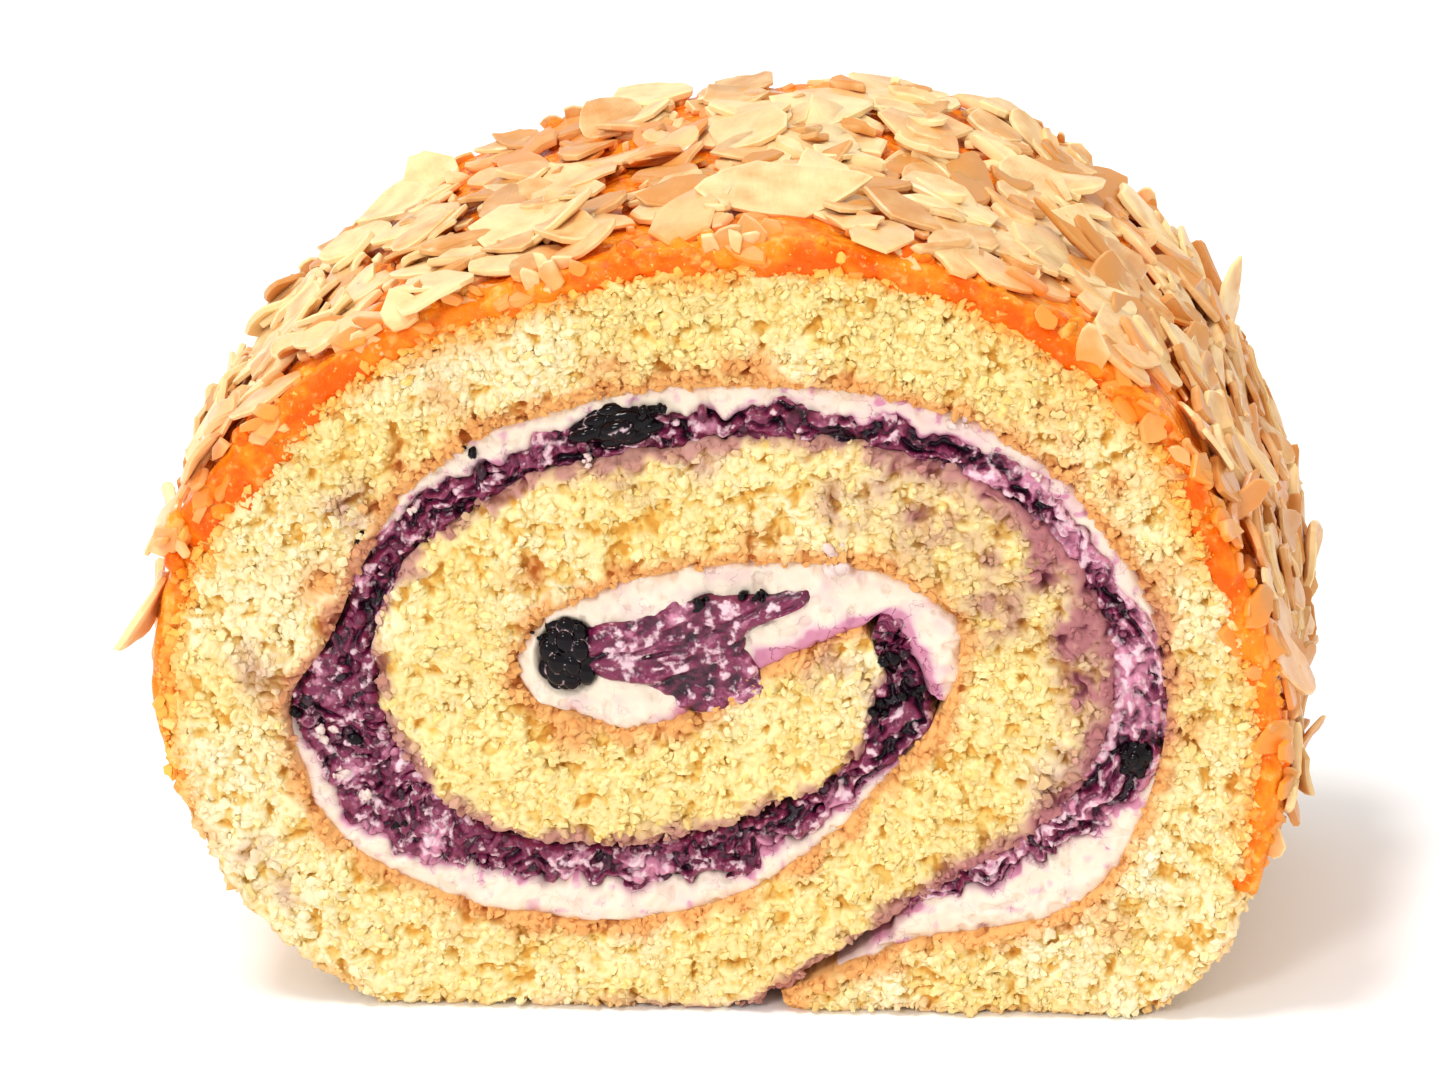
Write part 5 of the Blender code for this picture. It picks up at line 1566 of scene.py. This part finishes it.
    def beads(self, count, finish):
        """Beads of berry, half sunk in the jam."""
        draw = np.random.default_rng(67)
        stations = np.where(draw.uniform(size=count) < 0.75, draw.normal(19.8, 2.2, count),
                            draw.uniform(JAM_STRETCH[0] + 0.6, JAM_STRETCH[1] - 0.4, count))
        points, outward = skin(stations)
        whole, start = filling_room(stations), cream_edge(stations)
        radii = np.minimum(mostly_small(draw, count, 0.3, 0.45, 1.5), 0.3 * (whole - start) + 0.2)
        across_jam = start + (whole - start) * draw.uniform(0.12, 0.92, count)
        side = np.where(draw.uniform(size=count) < 0.6, -1.0, 1.0)
        centres = upright(points - outward * across_jam[:, None],
                          side * (CUT_FACE - draw.uniform(0.35, 1.0, count)))
        keep = (whole - start) > 0.7
        centres, radii, left = centres[keep], radii[keep], keep.sum()
        relief = draw.uniform(0.2, 1.0, left)
        marks = jam_marks(centres[:, [0, 2]], np.full(left, 2.0), np.full(left, 3.0), relief, 0)
        lump_piece("jam_beads", centres, radii, 0.06, 62, (4, 8), finish, "jam", marks)


# ---------------------------------------------------------------- stage


class SetStage(bpy.types.Operator):
    """Set the pale floor, the soft light and the camera"""
    bl_idname = "swiss_roll.stage"
    bl_label = "Stage"

    def execute(self, context):
        self.floor()
        self.lights(context.scene)
        self.camera(context.scene)
        return {"FINISHED"}

    def floor(self):
        """A wide, flat, pale floor under the slice."""
        mesh = bpy.data.meshes.new("floor")
        corners = [(x * FLOOR_HALF, y * FLOOR_HALF, 0.0) for x, y in ((-1, -1), (1, -1), (1, 1), (-1, 1))]
        mesh.from_pydata(corners, [], [(0, 1, 2, 3)])
        finish = Finish("pale floor", Base_Color=(0.98, 0.98, 0.98, 1.0), Roughness=0.6,
                        Specular_IOR_Level=0.1)
        mesh.materials.append(finish.material)
        floor = bpy.data.objects.new("floor", mesh)
        bpy.context.scene.collection.objects.link(floor)

    def lights(self, scene):
        """An even pale surround and two broad soft lights, from the upper left and the front left."""
        world = bpy.data.worlds.new("pale surround")
        world.use_nodes = True
        background = world.node_tree.nodes["Background"].inputs
        background["Color"].default_value = (1.0, 1.0, 1.0, 1.0)
        background["Strength"].default_value = SURROUND_STRENGTH
        scene.world = world
        scene.view_settings.view_transform = "Standard"
        for name, (way, strength, spread) in LIGHTS.items():
            light = bpy.data.lights.new(name, "SUN")
            light.energy = strength
            light.angle = math.radians(spread)
            lamp = bpy.data.objects.new(name, light)
            way = np.array(way) / np.linalg.norm(way)
            lamp.rotation_euler = (math.acos(way[2]), 0.0, math.atan2(way[0], -way[1]))
            scene.collection.objects.link(lamp)

    def camera(self, scene):
        """The photograph's view, so far away that a millimetre at the foot of the front face
        measures PIXELS_PER_MM."""
        height, side, roll = (math.radians(angle) for angle in (VIEW_HEIGHT, VIEW_SIDE, VIEW_ROLL))
        ahead = np.array([-math.sin(side) * math.cos(height), math.cos(side) * math.cos(height),
                          -math.sin(height)])
        right = np.array([math.cos(side), math.sin(side), 0.0])
        up = np.cross(right, ahead)
        right, up = (right * math.cos(roll) + up * math.sin(roll),
                     up * math.cos(roll) - right * math.sin(roll))
        across_view = (FOOT_PIXEL[0] - PICTURE[0] / 2) / FOCAL_PIXELS
        up_view = (PICTURE[1] / 2 - FOOT_PIXEL[1]) / FOCAL_PIXELS
        foot = np.array([0.0, -CUT_FACE, 0.0])
        spot = foot - FOCAL_PIXELS / PIXELS_PER_MM * (ahead + across_view * right + up_view * up)
        data = bpy.data.cameras.new("camera")
        data.sensor_width = SENSOR_MM
        data.lens = FOCAL_PIXELS * SENSOR_MM / PICTURE[0]
        data.clip_start, data.clip_end = CAMERA_CLIP
        camera = bpy.data.objects.new("camera", data)
        rows = [[right[k], up[k], -ahead[k], place(spot)[k]] for k in range(3)] + [[0.0, 0.0, 0.0, 1.0]]
        camera.matrix_world = Matrix(rows)
        scene.collection.objects.link(camera)
        scene.camera = camera


class SlicePanel(bpy.types.Panel):
    """Sizes, colours and steps of the slice in the 3D view's sidebar"""
    bl_idname = "VIEW3D_PT_swiss_roll"
    bl_label = "Swiss Roll Slice"
    bl_space_type = "VIEW_3D"
    bl_region_type = "UI"
    bl_category = "Swiss Roll"

    def draw(self, context):
        layout = self.layout
        for group in (context.scene.slice_sizes, context.scene.slice_colours):
            column = layout.column()
            for name in group.__annotations__:
                column.prop(group, name)
        for step in STEPS:
            layout.operator(step.bl_idname)


STEPS = (BakeSponge, SpreadCream, SpreadJam, SetBerries, PourGlaze, LayAlmonds, DropCrumbs, SetStage)
CLASSES = (SliceSizes, SliceColours, *STEPS, SlicePanel)


def register():
    for entry in CLASSES:
        bpy.utils.register_class(entry)
    bpy.types.Scene.slice_sizes = PointerProperty(type=SliceSizes)
    bpy.types.Scene.slice_colours = PointerProperty(type=SliceColours)


def unregister():
    del bpy.types.Scene.slice_colours
    del bpy.types.Scene.slice_sizes
    for entry in reversed(CLASSES):
        bpy.utils.unregister_class(entry)


def main():
    """Build the slice and its stage."""
    register()
    bpy.ops.swiss_roll.sponge()
    bpy.ops.swiss_roll.cream()
    bpy.ops.swiss_roll.jam()
    bpy.ops.swiss_roll.berries()
    bpy.ops.swiss_roll.glaze()
    bpy.ops.swiss_roll.almonds()
    bpy.ops.swiss_roll.crumbs()
    bpy.ops.swiss_roll.stage()


if __name__ == "__main__":
    main()
